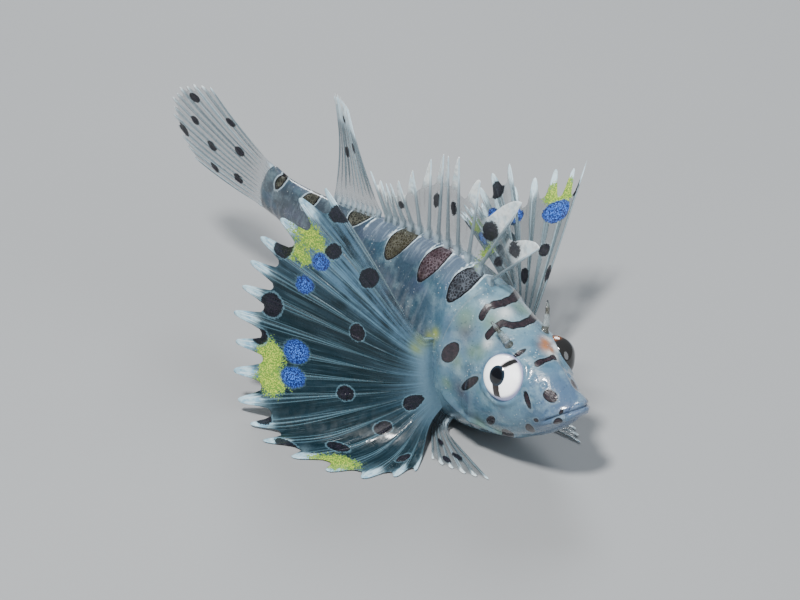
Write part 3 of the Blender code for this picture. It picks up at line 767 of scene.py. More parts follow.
def fin_piece(name, point, rays, rows, reach, ray_radius, membrane, marks, finish, replaced,
              tip_long, upper, tip_wide=0.5, white=None, body=None):
    """A fin as one closed mesh, with raised rays and with its marks as attributes.

    point gives the sheet, reach the margin; upper says how pale the skin is, white where it is
    white besides the tips, and body how solid it is.
    """
    u, v, share, sheet = fin_grid(point, rays, rows, reach)
    columns, length = sheet.shape[:2]
    by_v = np.gradient(sheet, v[:, 0], axis=0)
    gap = np.linalg.norm(by_v, axis=-1)
    by_share = np.gradient(sheet, axis=1)
    out = unit(np.cross(by_v, by_share))
    long = np.linalg.norm(point(np.ones_like(u), v) - point(np.zeros_like(u), v), axis=-1)
    ray_away = np.abs(v - np.round(v))
    grown = np.clip(u, 0, 1)
    radius = ray_radius * (1 - 0.72 * grown)
    ridge = np.sqrt(np.clip(1 - (ray_away * gap / (radius * 1.25)) ** 2, 0, 1))
    branch = 0.03 + 0.13 * eased((grown - 0.15) / 0.6)
    twigs = 0.45 * bump((ray_away - branch) * gap, 0.05) * eased((grown - 0.2) / 0.2)
    ridge = np.maximum(ridge, twigs)
    ridge = ridge * np.clip(gap / (4.5 * radius), 0, 1) ** 1.5
    ridge = ridge * eased((grown - 0.04) / 0.2)
    root = np.exp(-grown * long / 0.35)
    half = membrane / 2 * (1 - 0.4 * grown) + radius * ridge + 0.10 * root
    half *= np.sqrt(np.clip(1 - np.clip(share, 0, 1) ** 16, 0.03, 1))
    shells = [sheet + out * half[..., None], sheet - out * half[..., None]]
    points = np.concatenate([shell.reshape(-1, 3) for shell in shells])
    points[:, 2] = np.maximum(points[:, 2], 0.0)
    front = quads(columns, length)
    count = columns * length
    border = np.concatenate([
        np.arange(length - 1), (np.arange(columns - 1)) * length + length - 1,
        count - 1 - np.arange(length - 1), (columns - 1 - np.arange(columns - 1)) * length,
    ])
    following = np.roll(border, -1)
    rim = np.stack([border, following, following + count, border + count], -1)
    faces = np.concatenate([front, front[:, ::-1] + count, rim])
    past = (1 - u) * long
    tip = eased((tip_long * (1 - ray_away / tip_wide) - past) / 0.35)
    if white is not None:
        tip = np.maximum(tip, white(u, v))
    glow = np.zeros_like(u)
    for at_v, at_u, wide, far in marks.get("glow", []):
        glow = np.maximum(glow, bump(np.hypot((v - at_v) / wide, (u - at_u) / far), 1.0))
    table = {
        "u": u, "v": v, "tip": tip, "glow": glow, "body": body(u, v) if body else np.ones_like(u),
        "upper": upper(u, v), "past": past, "root": root, "long": grown * long,
    }
    for label in SPOT_KINDS:
        table[label] = ellipse_marks(u, v, marks.get(label, []))
    table = {label: np.concatenate([values.ravel()] * 2) for label, values in table.items()}
    piece = add_piece(name, points, faces, table, finish)
    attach(piece, "root")
    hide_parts(replaced)


print("columns for one gap between rays:", len(COLUMN_STEPS))

# %% [markdown]
# ## The glassy finish of the fins
# A fin skin is clear, but not empty: fine pale lines run out from its root, each ray is pale, the
# fingers at the margin are bluish white, and the spots are dense pigment. So one material mixes
# colour and alpha from the same masks. The lines and the cross joints of the rays come from u and v
# in a group that every fin material uses.

# %% A group for the lines of rays
LINES, GIVEN, MADE = new_group("ray lines", {"U": 0.0, "V": 0.0, "Long": 0.0},
                               ("Ray", "Fine", "Joint", "Broad", "Near"))
turned = calc(LINES, "FRACT", calc(LINES, "ADD", GIVEN.outputs["V"], 0.5))
turned = calc(LINES, "ABSOLUTE", calc(LINES, "SUBTRACT", turned, 0.5))
branch_off = step(LINES, GIVEN.outputs["U"], 0.12, 0.8, 0.03, 0.17)
branch = calc(LINES, "ABSOLUTE", calc(LINES, "SUBTRACT", turned, branch_off))
middle_line = step(LINES, turned, 0.012, 0.055, 1.0, 0.0)
side_line = step(LINES, branch, 0.008, 0.035, 0.75, 0.0)
LINES.links.new(step(LINES, turned, 0.10, 0.38, 1.0, 0.12), MADE.inputs["Near"])
LINES.links.new(calc(LINES, "MAXIMUM", middle_line, side_line), MADE.inputs["Ray"])
spread = node(LINES, "CombineXYZ", {"X": times(LINES, GIVEN.outputs["V"], 7.0),
                                    "Y": times(LINES, GIVEN.outputs["Long"], 0.22)})
strands = node(LINES, "TexNoise", {"Vector": spread.outputs[0], "Scale": 1.6, "Detail": 2.0})
LINES.links.new(step(LINES, strands.outputs["Fac"], 0.53, 0.66), MADE.inputs["Fine"])
wide = node(LINES, "CombineXYZ", {"X": times(LINES, GIVEN.outputs["V"], 2.1),
                                  "Y": times(LINES, GIVEN.outputs["Long"], 0.10)})
bands = node(LINES, "TexNoise", {"Vector": wide.outputs[0], "Scale": 1.3, "Detail": 4.0,
                                 "Roughness": 0.6})
LINES.links.new(step(LINES, bands.outputs["Fac"], 0.40, 0.64), MADE.inputs["Broad"])
joints = calc(LINES, "FRACT", times(LINES, GIVEN.outputs["Long"], 4.2))
joints = calc(LINES, "ABSOLUTE", calc(LINES, "SUBTRACT", joints, 0.5))
LINES.links.new(step(LINES, joints, 0.36, 0.5), MADE.inputs["Joint"])
print("sockets of the ray group:", [s.name for s in LINES.interface.items_tree])


# %% A material for clear fin skin
def fin_material(name, clear, low, high, ray_tint, white, cool, flesh, lined):
    """Fin skin: how solid its clear part is, the tints of that part low and high, of the rays, the
    tips (two) and the root, and how strongly its lines show."""
    made, tree, shader = new_material(
        name, Coat_Weight=0.20, Coat_Roughness=0.08, IOR=1.33, Subsurface_Weight=0.0
    )
    lines = use_group(tree, LINES, {"U": mark(tree, "u"), "V": mark(tree, "v"),
                                    "Long": mark(tree, "long")})
    mist = step(tree, noise(tree, 0.8, 4.0, 0.6), 0.35, 0.7)
    haze = calc(tree, "MULTIPLY_ADD", lines["Broad"], 0.75, times(tree, mist, 0.35))
    wash = calc(tree, "MULTIPLY", mark(tree, "upper"), haze, clamp=True)
    tone = blend(tree, wash, low, high)
    fine = times(tree, lines["Fine"], lined)
    tone = lay(tree, tone, ray_tint, fine, step(tree, wash, 0.0, 0.6, 0.20, 1.0))
    bone = times(tree, lines["Ray"], step(tree, mark(tree, "u"), 0.05, 0.5, 0.08, 0.40))
    tone = blend(tree, bone, tone, ray_tint)
    tone = lay(tree, tone, low, lines["Joint"], lines["Ray"], 0.25)
    ruffle = step(tree, noise(tree, 4.0, 3.0), 0.25, 0.6, 0.80, 1.0)
    tip = times(tree, mark(tree, "tip"), ruffle)
    frost = blend(tree, step(tree, noise(tree, 2.4, 4.0), 0.40, 0.70, 0.0, 0.8), white, cool)
    hem = times(tree, step(tree, mark(tree, "past"), 0.0, 2.2, 0.35, 0.0), mist)
    tone = blend(tree, hem, tone, frost)
    tone = blend(tree, tip, tone, frost)
    tone = lay(tree, tone, flesh, mark(tree, "root"), 0.8)
    solid = calc(tree, "MAXIMUM", step(tree, wash, 0.0, 1.0, clear[0], clear[1]),
                 times(tree, bone, 0.95))
    solid = calc(tree, "MAXIMUM", solid, times(tree, fine, 1.2))
    solid = times(tree, solid, mark(tree, "body"))
    base = times(tree, mark(tree, "root"), lines["Near"], 0.85)
    solid = calc(tree, "MAXIMUM", solid, base)
    tone = lay(tree, tone, (0.30, 0.40, 0.10, 1), mark(tree, "glow"), 0.6)
    covers = [tip]
    pigments = (("yellow", (0.60, 0.74, 0.085, 1), (0.16, 0.33, 0.045, 1), 0.30),
                ("blue", (0.075, 0.250, 0.95, 1), (0.010, 0.022, 0.13, 1), 0.07),
                ("dark", (0.020, 0.012, 0.026, 1), (0.002, 0.001, 0.003, 1), 0.06))
    for label, inner, outer, ragged in pigments:
        made_spot = pigment(tree, mark(tree, label), ragged, 13.0, 0.16)
        wider = pigment(tree, calc(tree, "ADD", mark(tree, label), 0.045), ragged)
        tone = lay(tree, tone, ray_tint, wider["Mask"], 0.35 if label == "dark" else 0.12)
        grit = node(tree, "TexVoronoi", {"Vector": place_mm(tree), "Scale": 15.0})
        speckled = blend(tree, step(tree, grit.outputs["Distance"], 0.34, 0.56), inner, outer)
        speckled = lay(tree, speckled, outer, made_spot["Rim"], 0.5)
        tone = lay(tree, tone, speckled, made_spot["Mask"], 0.95)
        covers.append(times(tree, made_spot["Mask"], 0.97))
    for cover in covers:
        solid = calc(tree, "MAXIMUM", solid, cover)
    tree.links.new(tone, shader.inputs["Base Color"])
    tree.links.new(calc(tree, "MINIMUM", solid, 1.0), shader.inputs["Alpha"])
    tree.links.new(step(tree, noise(tree, 3.0, 3.0), 0.3, 0.7, 0.22, 0.42),
                   shader.inputs["Roughness"])
    height = calc(tree, "ADD", times(tree, lines["Fine"], 0.6),
                  times(tree, lines["Joint"], lines["Ray"]))
    height = calc(tree, "ADD", height, times(tree, noise(tree, 5.0, 3.0), 0.7))
    tree.links.new(fine_relief(tree, height, 0.4, 0.03), shader.inputs["Normal"])
    return made


FAN_SKIN = fin_material(
    "pectoral_skin", clear=(0.97, 0.90), low=(0.0035, 0.015, 0.021, 1),
    high=(0.108, 0.220, 0.330, 1), ray_tint=(0.20, 0.37, 0.47, 1), white=(0.52, 0.77, 0.90, 1),
    cool=(0.17, 0.40, 0.58, 1), flesh=(0.180, 0.315, 0.420, 1), lined=0.46,
)
RAISED_SKIN = fin_material(
    "raised_pectoral_skin", clear=(0.30, 0.26), low=(0.026, 0.052, 0.062, 1),
    high=(0.12, 0.20, 0.24, 1), ray_tint=(0.38, 0.52, 0.58, 1), white=(0.70, 0.88, 0.95, 1),
    cool=(0.36, 0.58, 0.74, 1), flesh=(0.12, 0.20, 0.27, 1), lined=0.35,
)
CLEAR_SKIN = fin_material(
    "clear_fin_skin", clear=(0.20, 0.20), low=(0.036, 0.054, 0.066, 1),
    high=(0.15, 0.22, 0.26, 1), ray_tint=(0.36, 0.46, 0.54, 1), white=(0.90, 0.97, 0.98, 1),
    cool=(0.62, 0.82, 0.92, 1), flesh=(0.48, 0.62, 0.72, 1), lined=0.28,
)
print("fin materials made")

# %% [markdown]
# ## Rays as tubes along paths
# Fin rays are fine glassy rods that follow the fin from its root and split on their way out. They
# could be modelled one by one, but all of them obey one rule, so a node tree makes them: it takes
# paths, reads from each point how thick the rod is there, and sweeps a circle along. The paths come
# from the same formula as the fin's sheet, so every rod lies in its fin.

# %% A node tree for tubes
def tube_tree():
    """A geometry tree that turns each path of a mesh into a tube."""
    tree = bpy.data.node_groups.new("tubes along paths", "GeometryNodeTree")
    tree.interface.new_socket("Paths", in_out="INPUT", socket_type="NodeSocketGeometry")
    for label, kind, value in (("Thickness", "NodeSocketFloat", 1.0),
                               ("Sides", "NodeSocketInt", 8)):
        tree.interface.new_socket(label, in_out="INPUT", socket_type=kind).default_value = value
    tree.interface.new_socket("Finish", in_out="INPUT", socket_type="NodeSocketMaterial")
    tree.interface.new_socket("Tubes", in_out="OUTPUT", socket_type="NodeSocketGeometry")
    given, made = tree.nodes.new("NodeGroupInput"), tree.nodes.new("NodeGroupOutput")

    def add(kind, links):
        box = tree.nodes.new("GeometryNode" + kind)
        for label, output in links.items():
            tree.links.new(output, box.inputs[label])
        return box

    thick = tree.nodes.new("GeometryNodeInputNamedAttribute")
    thick.data_type = "FLOAT"
    thick.inputs["Name"].default_value = "thick"
    wide = tree.nodes.new("ShaderNodeMath")
    wide.operation = "MULTIPLY"
    tree.links.new(thick.outputs["Attribute"], wide.inputs[0])
    tree.links.new(given.outputs["Thickness"], wide.inputs[1])
    paths = add("MeshToCurve", {"Mesh": given.outputs["Paths"]})
    sized = add("SetCurveRadius", {"Curve": paths.outputs["Curve"], "Radius": wide.outputs[0]})
    circle = add("CurvePrimitiveCircle", {"Resolution": given.outputs["Sides"]})
    circle.inputs["Radius"].default_value = 1.0
    swept = add("CurveToMesh", {"Curve": sized.outputs["Curve"],
                                "Profile Curve": circle.outputs["Curve"]})
    swept.inputs["Fill Caps"].default_value = True
    radius = tree.nodes.new("GeometryNodeInputRadius")
    tree.links.new(radius.outputs[0], swept.inputs["Scale"])
    smooth = add("SetShadeSmooth", {"Geometry": swept.outputs["Mesh"]})
    real = add("RealizeInstances", {"Geometry": smooth.outputs["Geometry"]})
    finish = add("SetMaterial", {"Geometry": real.outputs["Geometry"],
                                 "Material": given.outputs["Finish"]})
    tree.links.new(finish.outputs["Geometry"], made.inputs["Tubes"])
    return tree


TUBES = tube_tree()


def grow_tubes(name, paths, table, finish, replaced, sides=8):
    """One mesh of tubes along paths; the table holds rows of values for them, thick in mm."""
    points = np.concatenate(paths)
    counts = [len(path) for path in paths]
    starts = np.cumsum([0] + counts[:-1])
    edges = [(start + k, start + k + 1)
             for start, count in zip(starts, counts) for k in range(count - 1)]
    mesh = bpy.data.meshes.new(name + "_paths")
    mesh.from_pydata(((points + SHIFT) * MM).tolist(), edges, [])
    for label, values in table.items():
        scale = MM if label == "thick" else 1.0
        layer = mesh.attributes.new(label, "FLOAT", "POINT")
        layer.data.foreach_set("value", np.concatenate(values).astype(np.float32) * scale)
    piece = bpy.data.objects.new(name, mesh)
    bpy.context.scene.collection.objects.link(piece)
    modifier = piece.modifiers.new("tubes", "NODES")
    modifier.node_group = TUBES
    socket = {item.name: item.identifier for item in TUBES.interface.items_tree}
    modifier[socket["Thickness"]] = 1.0
    modifier[socket["Sides"]] = sides
    modifier[socket["Finish"]] = finish
    evaluated = piece.evaluated_get(bpy.context.evaluated_depsgraph_get())
    solid = bpy.data.meshes.new_from_object(evaluated)
    piece.modifiers.clear()
    piece.data = solid
    bpy.data.meshes.remove(mesh)
    solid.name = name
    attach(piece, "root")
    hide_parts(replaced)
    print(name, "has", sum(len(p.vertices) - 2 for p in solid.polygons), "triangles")


STRAND_STEPS, STRAND_SEED = 44, 4


def ray_strands(name, sheet, rays, reach, thick, pale, marks, replaced, splits, start=0.06,
                tip_long=1.2):
    """The rods of a fin: each ray splits into strands, which come together again at its tip."""
    chance = np.random.default_rng(STRAND_SEED)
    paths, table = [], {"thick": [], "pale": [], "tip": [], "long": []}
    for ray in range(rays):
        for split in splits:
            share = np.linspace(0, 1, STRAND_STEPS)
            first = start + 0.10 * chance.random()
            u = first + (0.985 - first) * share
            spread = 0.03 + 0.14 * eased((u - 0.12) / 0.65)
            spread = spread * (1 - 0.55 * eased((u - 0.82) / 0.18))
            sway = 0.02 * np.sin(u * 9 + chance.random() * 6)
            v = np.clip(ray + split * spread + sway, 0, rays - 1)
            u = np.minimum(u, reach(v) - 0.012)
            points = sheet(u, v)
            spots = [ellipse_marks(u, v, marks.get(label, [])) for label in SPOT_KINDS]
            spots = np.max(spots, axis=0)
            length = np.linalg.norm(points[-1] - points[0])
            ends = np.sqrt(np.clip(np.minimum(share / 0.25, (1 - share) / 0.03), 0.02, 1))
            width = thick * (1 - 0.45 * u) * (0.6 + 0.8 * chance.random()) * ends
            paths.append(points)
            table["thick"].append(width * (1 - 0.9 * eased((spots + 0.02) / 0.06)))
            table["pale"].append(pale(u, v) * (0.35 + 0.65 * chance.random() ** 2))
            table["tip"].append(eased((tip_long - (1 - u) * length) / 0.5))
            table["long"].append(u * length)
    grow_tubes(name, paths, table, RAY_GLASS, replaced)


print("inputs of the tube tree:", [item.name for item in TUBES.interface.items_tree])

# %% [markdown]
# ## The finish of the rays
# A ray is a clear rod with fine cross joints, dark low down and pale at its tip. Real refraction
# would be slow and noisy in rods this thin, so a tint that lets part of the light through, under a
# clear coat, stands for it. How pale a rod is differs from strand to strand.

# %% The finish of the rays
RAY_GLASS, tree, shader = new_material("ray_glass", Coat_Weight=0.6, Coat_Roughness=0.06, IOR=1.42)
pale = mark(tree, "pale")
glass = blend(tree, pale, (0.016, 0.044, 0.058, 1), (0.58, 0.76, 0.86, 1))
segment = calc(tree, "FRACT", times(tree, mark(tree, "long"), 3.4))
segment = calc(tree, "ABSOLUTE", calc(tree, "SUBTRACT", segment, 0.5))
glass = blend(tree, step(tree, segment, 0.40, 0.5, 0.0, 0.35), glass, (0.015, 0.024, 0.034, 1))
glass = blend(tree, mark(tree, "tip"), glass, (0.66, 0.84, 0.94, 1))
tree.links.new(glass, shader.inputs["Base Color"])
clear = calc(tree, "MAXIMUM", calc(tree, "MULTIPLY_ADD", pale, 0.5, 0.35), mark(tree, "tip"),
             clamp=True)
tree.links.new(clear, shader.inputs["Alpha"])
tree.links.new(step(tree, noise(tree, 5.0), 0.3, 0.7, 0.18, 0.32), shader.inputs["Roughness"])
tree.links.new(fine_relief(tree, noise(tree, 9.0), 0.3, 0.02), shader.inputs["Normal"])
print("ray material has", len(tree.nodes), "nodes")

# %% [markdown]
# ## The pectoral fins
# The pectoral fins are the fish's great fans. The right one spreads back and down like a skirt and
# lies on the floor with its lower rays; the left one is held up behind the nape. Each ray's
# direction is taken from a smooth curve through the directions of the top, middle and lowest ray.
# Between its fingers the margin is scooped, which the reach along each ray says.

# %% Pectoral fins
PECTORAL_RAYS = 17
PECTORAL_FINS = {
    "right": {
        "top": (-0.54, -0.13, 0.75), "middle": (-0.71, -0.46, -0.09),
        "lowest": (0.76, -0.68, -0.55),
        "lengths": (8.0, 8.9, 3.7), "bunch": 1.0, "behind": (8.3, 8.0), "turns": (72, 128),
    },
    "left": {
        "top": (-0.67, 0.52, 0.70), "middle": (-0.98, 0.25, 0.29), "lowest": (-0.30, 0.55, 0.48),
        "lengths": (6.4, 7.8, 11.2), "bunch": 1.5, "behind": (8.7, 8.7), "turns": (67, 117),
    },
}
FLOOR_CLEAR = 0.07


def above_floor(points, u):
    """Lifts what would come too near the floor, over a soft height so that no crease shows."""
    soft = 0.35
    height = FLOOR_CLEAR + 0.10 * (1 - np.clip(u, 0, 1))
    over = np.clip((points[..., 2] - height) / soft, -30, 8)
    lifted = height + soft * np.log1p(np.exp(over))
    points = points.copy()
    points[..., 2] = np.where(points[..., 2] - height > 8 * soft, points[..., 2], lifted)
    return points


def pectoral_sheet(side):
    """The sheet of one pectoral fin: a fan that leaves the side and opens like a skirt."""
    fan, sign = PECTORAL_FINS[side], 1 if side == "left" else -1
    rays = [np.array(fan[key]) for key in ("top", "middle", "lowest")]

    def point(u, v):
        share, grown = v / (PECTORAL_RAYS - 1), np.maximum(u, 0)
        turn = sign * (fan["turns"][0] + (fan["turns"][1] - fan["turns"][0]) * share)
        s = fan["behind"][0] + (fan["behind"][1] - fan["behind"][0]) * share
        root = body_point(s, turn, 0.5)
        outward = unit(root - body_point(s, turn))
        ray = unit(through_three(*rays, 1 - (1 - share) ** fan["bunch"]))
        length = through_three(*fan["lengths"], share)
        leave = 0.5 * (1 - np.exp(-grown * 14)) + np.minimum(u, 0) / SINK * 0.9
        droop = np.array([-0.9, 0, -0.5]) * (grown * grown * (1 - 0.6 * share))[..., None]
        points = root + outward * leave[..., None] + ray * (length * grown)[..., None] + droop
        return above_floor(points, grown)

    return point


def fingered(v):
    """The reach of the margin where rays end in fingers, with scoops between them."""
    away = np.abs(v - np.round(v))
    tip = 0.014 * np.clip(away / 0.10, 0, 1) ** 2
    side = 0.126 * np.clip((away - 0.10) / 0.20, 0, 1) ** 1.1
    return 1.0 - tip - side - 0.012 * eased((away - 0.30) / 0.2) + 0.012 * np.sin(v * 2.4)


PECTORAL_MARKS = {
    "right": {
        "glow": [(0.8, 0.015, 1.1, 0.03), (2.4, 0.03, 0.9, 0.025)],
        "yellow": [(1.72, 0.80, 0.50, 0.13), (2.55, 0.81, 0.42, 0.10), (7.4, 0.80, 0.8, 0.085),
                   (8.3, 0.80, 0.6, 0.09), (12.7, 0.83, 0.7, 0.15)],
        "blue": [(2.2, 0.68, 0.46, 0.052), (3.6, 0.69, 0.46, 0.052), (6.9, 0.655, 0.60, 0.072),
                 (8.1, 0.68, 0.48, 0.070)],
        "dark": [(0.0, 0.83, 0.6, 0.060), (1.4, 0.67, 0.45, 0.045), (2.8, 0.88, 0.48, 0.050),
                 (5.2, 0.82, 0.52, 0.062), (0.8, 0.44, 0.72, 0.055), (4.5, 0.34, 0.72, 0.045),
                 (8.9, 0.40, 0.50, 0.050), (11.8, 0.28, 0.55, 0.060), (9.7, 0.90, 0.40, 0.055),
                 (11.2, 0.90, 0.38, 0.055), (11.8, 0.62, 0.45, 0.060), (6.6, 0.86, 0.36, 0.045),
                 (14.6, 0.55, 0.4, 0.08), (10.9, 0.06, 1.1, 0.05)],
    },
    "left": {
        "yellow": [(14.6, 0.865, 1.05, 0.085), (4.5, 0.82, 0.7, 0.10), (9.4, 0.86, 0.5, 0.07)],
        "blue": [(14.6, 0.765, 1.05, 0.062), (11.9, 0.80, 0.55, 0.050), (4.6, 0.68, 0.6, 0.06),
                 (2.0, 0.72, 0.5, 0.06)],
        "dark": [(15.7, 0.87, 0.30, 0.045), (14.3, 0.56, 0.60, 0.037), (15.6, 0.44, 0.45, 0.045),
                 (11.4, 0.66, 0.45, 0.055), (8.6, 0.78, 0.6, 0.065), (12.6, 0.42, 0.5, 0.050),
                 (7.6, 0.50, 0.6, 0.06), (3.0, 0.45, 0.6, 0.06), (6.0, 0.86, 0.5, 0.06),
                 (1.0, 0.86, 0.5, 0.07), (9.5, 0.3, 0.5, 0.06)],
    },
}
STRAND_PLACES = (-1, -0.72, -0.42, -0.12, 0.18, 0.46, 0.74, 1)


def upper_pale(u, v):
    """How pale the fan's skin is: most over its upper rays and at its root."""
    over = (0.08 + 1.2 * eased((4.6 - v) / 3.6)) * (1.15 - u * 0.3)
    return np.clip(over + 1.2 * np.exp(-u / 0.06), 0, 1.3)


for side, skin, thick, least in (("right", FAN_SKIN, 0.034, 0.18),
                                 ("left", RAISED_SKIN, 0.045, 0.95)):
    fin_piece(
        f"pectoral_fan_{side}", pectoral_sheet(side), PECTORAL_RAYS, 58, fingered, 0.05, 0.06,
        PECTORAL_MARKS[side], skin, f"pectoral_fin_{side}", tip_long=1.5, upper=upper_pale,
        body=lambda u, v: 0.35 + 0.65 * eased((v + 1.5 * u * u - 0.1) / 2.4),
    )
    ray_strands(
        f"pectoral_rays_{side}", pectoral_sheet(side), PECTORAL_RAYS, fingered, thick,
        lambda u, v: np.clip(1.30 - v / 6.5, least, 1) * (0.45 + 0.55 * u),
        PECTORAL_MARKS[side], f"pectoral_fin_{side}", splits=STRAND_PLACES, start=0.12,
    )

# %% [markdown]
# ## The fin of spines
# Thirteen stiff spines stand along the back. Behind each one a flag of skin hangs from near its
# tip, and the skin falls away towards the next spine, so the margin of this fin jumps up at every
# spine. The first two flags lean forward over the nape and are the widest.

# %% Spiny dorsal fin
DORSAL_SPINES = 13
DORSAL_START, DORSAL_END, DORSAL_CROWD = 6.8, 15.4, 1.35
SPINE_LENGTHS = (4.8, 5.0, 4.2, 5.2, 5.0, 4.5, 3.7, 2.9, 2.3, 2.0, 1.8, 1.8, 2.3)
SPINE_LEANS = (47, 30, 8, 6, 7, 4, -4, -13, -20, -26, -30, -32, -34)
FLAG_FALL = (0.42, 0.44, 0.40, 0.34, 0.34, 0.36, 0.36, 0.36, 0.34, 0.32, 0.30, 0.28, 0.28)


def dorsal_spiny_sheet(u, v):
    """The sheet of the fin of spines, along the ridge of the back."""
    grown = np.maximum(u, 0)
    share = 1 - (1 - v / (DORSAL_SPINES - 1)) ** DORSAL_CROWD
    s = DORSAL_START + (DORSAL_END - DORSAL_START) * share
    back, left, _ = directions(s)
    root = body_point(s, 0 * s, 0.3 + np.minimum(u, 0) / SINK * 0.6)
    lean = np.radians(between_marks(SPINE_LEANS, v))[..., None]
    ray = np.array([0, 0, 1]) * np.cos(lean) - back * np.sin(lean)
    ray = ray + left * (0.10 * np.sin(v * 1.3))[..., None]
    return root + unit(ray) * (between_marks(SPINE_LENGTHS, v) * grown)[..., None]


def flagged(v):
    """The reach of the margin behind each spine: a flag near the tip, and then a fall."""
    behind = v - np.floor(v + 1e-9)
    fall = between_marks(FLAG_FALL, np.floor(v + 1e-9))
    drop = 0.07 * eased(behind / 0.25) + (fall - 0.07) * eased((behind - 0.12) / 0.55)
    return 1.0 - drop * (1 - eased((behind - 0.90) / 0.10))


def flag_white(u, v):
    """How white the skin is: the first two flags are white far down, the others near the tip."""
    behind = v - np.floor(v + 1e-9)
    front = eased((0.80 - behind) / 0.25) * eased((u - 0.36) / 0.22) * eased((2.1 - v) / 0.1)
    rest = eased((0.62 - behind) / 0.22) * eased((u - 0.58) / 0.12) * eased((v - 1.9) / 0.1)
    return 0.97 * np.maximum(front, rest)


DORSAL_MARKS = {
    "dark": [(1.35, 0.45, 0.30, 0.13), (0.35, 0.58, 0.26, 0.11), (0.45, 0.25, 0.2, 0.08),
             (3.4, 0.42, 0.25, 0.09), (5.4, 0.44, 0.3, 0.10), (8.5, 0.45, 0.3, 0.10)],
    "yellow": [(1.15, 0.20, 0.16, 0.16)],
}
fin_piece(
    "dorsal_flags", dorsal_spiny_sheet, DORSAL_SPINES, 44, flagged, 0.05, 0.06, DORSAL_MARKS,
    CLEAR_SKIN, "dorsal_fin_spiny", tip_long=1.5, tip_wide=1.15, white=flag_white,
    upper=lambda u, v: np.clip(1.9 - v * 0.5, 0.1, 1),
)


def dorsal_spine_rods():
    """The thirteen spines: one stout rod each, from inside the back to just short of its flag."""
    paths, table = [], {"thick": [], "pale": [], "tip": [], "long": []}
    for spine in range(DORSAL_SPINES):
        u = np.linspace(-0.05, 0.985, 40)
        paths.append(dorsal_spiny_sheet(u, np.full(len(u), float(spine))))
        taper = 0.105 - 0.070 * np.clip(u, 0, 1)
        table["thick"].append(taper * np.sqrt(np.clip((1 - u) / 0.05, 0.05, 1)))
        table["pale"].append(0.55 + 0.30 * u)
        table["tip"].append(eased((u - 0.5) / 0.3))
        table["long"].append(0 * u)
    grow_tubes("dorsal_spines", paths, table, RAY_GLASS, "dorsal_fin_spiny", sides=12)


dorsal_spine_rods()

# %% [markdown]
# ## Soft dorsal, tail and anal fins
# These three are clear fans of soft rays. The soft dorsal fin is half folded, so its rays run close
# together; the tail fin is spread and carries rows of small spots; the anal fin sweeps back under
# the tail's stem. Their margins only wave a little between the rays.

# %% Soft fins along the middle of the body
SOFT_RAYS, CAUDAL_RAYS, ANAL_RAYS = 10, 13, 9


def waved(v):
    """The reach of a margin that waves a little between the rays."""
    return 1.0 - 0.06 * eased(np.abs(v - np.round(v)) / 0.5) - 0.012 * (1 + np.sin(v * 2.9))


def forked(v):
    """The reach of a half folded fin, where the rays end apart from each other."""
    return waved(v) - 0.16 * eased((np.abs(v - np.round(v)) - 0.12) / 0.38)


def dorsal_soft_sheet(u, v):
    """The sheet of the half folded soft dorsal fin."""
    share, grown = v / (SOFT_RAYS - 1), np.maximum(u, 0)
    s = 15.9 + 3.1 * share
    back, left, _ = directions(s)
    root = body_point(s, 0 * s, 0.3 + np.minimum(u, 0) / SINK * 0.6)
    lean = np.radians(-27 + 27 * share)[..., None]
    ray = np.array([0, 0, 1]) * np.cos(lean) - back * np.sin(lean)
    bow = left * (0.5 * np.sin(math.pi * grown) * (share - 0.3))[..., None]
    return root + ray * ((5.0 + 0.6 * share) * grown)[..., None] + bow


def caudal_sheet(u, v):
    """The sheet of the tail fin, spread from the end of the stem."""
    share, grown = v / (CAUDAL_RAYS - 1), np.maximum(u, 0)
    end = np.array(STANDARD_LENGTH)
    back, left, up = directions(end)
    sunk = 0.3 + np.minimum(u, 0) / SINK * 1.0
    high = 1.28 * (1 - 2 * share) * (1 - 0.25 * np.clip(-u / SINK, 0, 1))
    spread = np.radians(12 - 22 * share)[..., None]
    ray = back * np.cos(spread) + up * np.sin(spread)
    length = 5.4 + 2.1 * np.sin(math.pi * share)
    sway = left * (0.5 * grown * grown)[..., None]
    root = axis_point(end) + back * sunk[..., None] + up * high[..., None]
    return root + ray * (length * grown)[..., None] + sway


def anal_sheet(u, v):
    """The sheet of the anal fin, under the stem."""
    share, grown = v / (ANAL_RAYS - 1), np.maximum(u, 0)
    s = 15.2 + 3.8 * share
    back, left, _ = directions(s)
    root = body_point(s, 0 * s + 180, 0.3 + np.minimum(u, 0) / SINK * 0.6)
    lean = np.radians(48 + 20 * share)[..., None]
    ray = back * np.sin(lean) - np.array([0, 0, 1]) * np.cos(lean)
    length = 1.6 + 2.3 * np.sin(math.pi * (0.12 + 0.62 * share))
    return root + ray * (length * grown)[..., None] + left * (0.35 * grown * grown)[..., None]


SOFT_MARKS = {"dark": [(6.0, 0.46, 0.9, 0.05), (2.5, 0.55, 0.5, 0.05), (4.5, 0.78, 0.6, 0.04)]}
CAUDAL_MARKS = {"dark": [(3.2, 0.86, 0.6, 0.055), (0.9, 0.55, 0.6, 0.055), (8.8, 0.9, 0.6, 0.06),
                         (4.0, 0.30, 0.8, 0.05), (7.4, 0.55, 0.6, 0.05), (10.8, 0.6, 0.6, 0.05),
                         (9.5, 0.28, 0.8, 0.05), (6.0, 0.74, 0.5, 0.045)]}
ANAL_MARKS = {"dark": [(6.5, 0.45, 0.6, 0.09), (3.4, 0.62, 0.6, 0.08), (6.8, 0.86, 0.6, 0.08),
                       (1.6, 0.4, 0.5, 0.10)]}
fin_piece("dorsal_soft_fan", dorsal_soft_sheet, SOFT_RAYS, 34, forked, 0.04, 0.055, SOFT_MARKS,
          CLEAR_SKIN, "dorsal_fin_soft", tip_long=1.6, upper=lambda u, v: 0.5 + 0 * u)
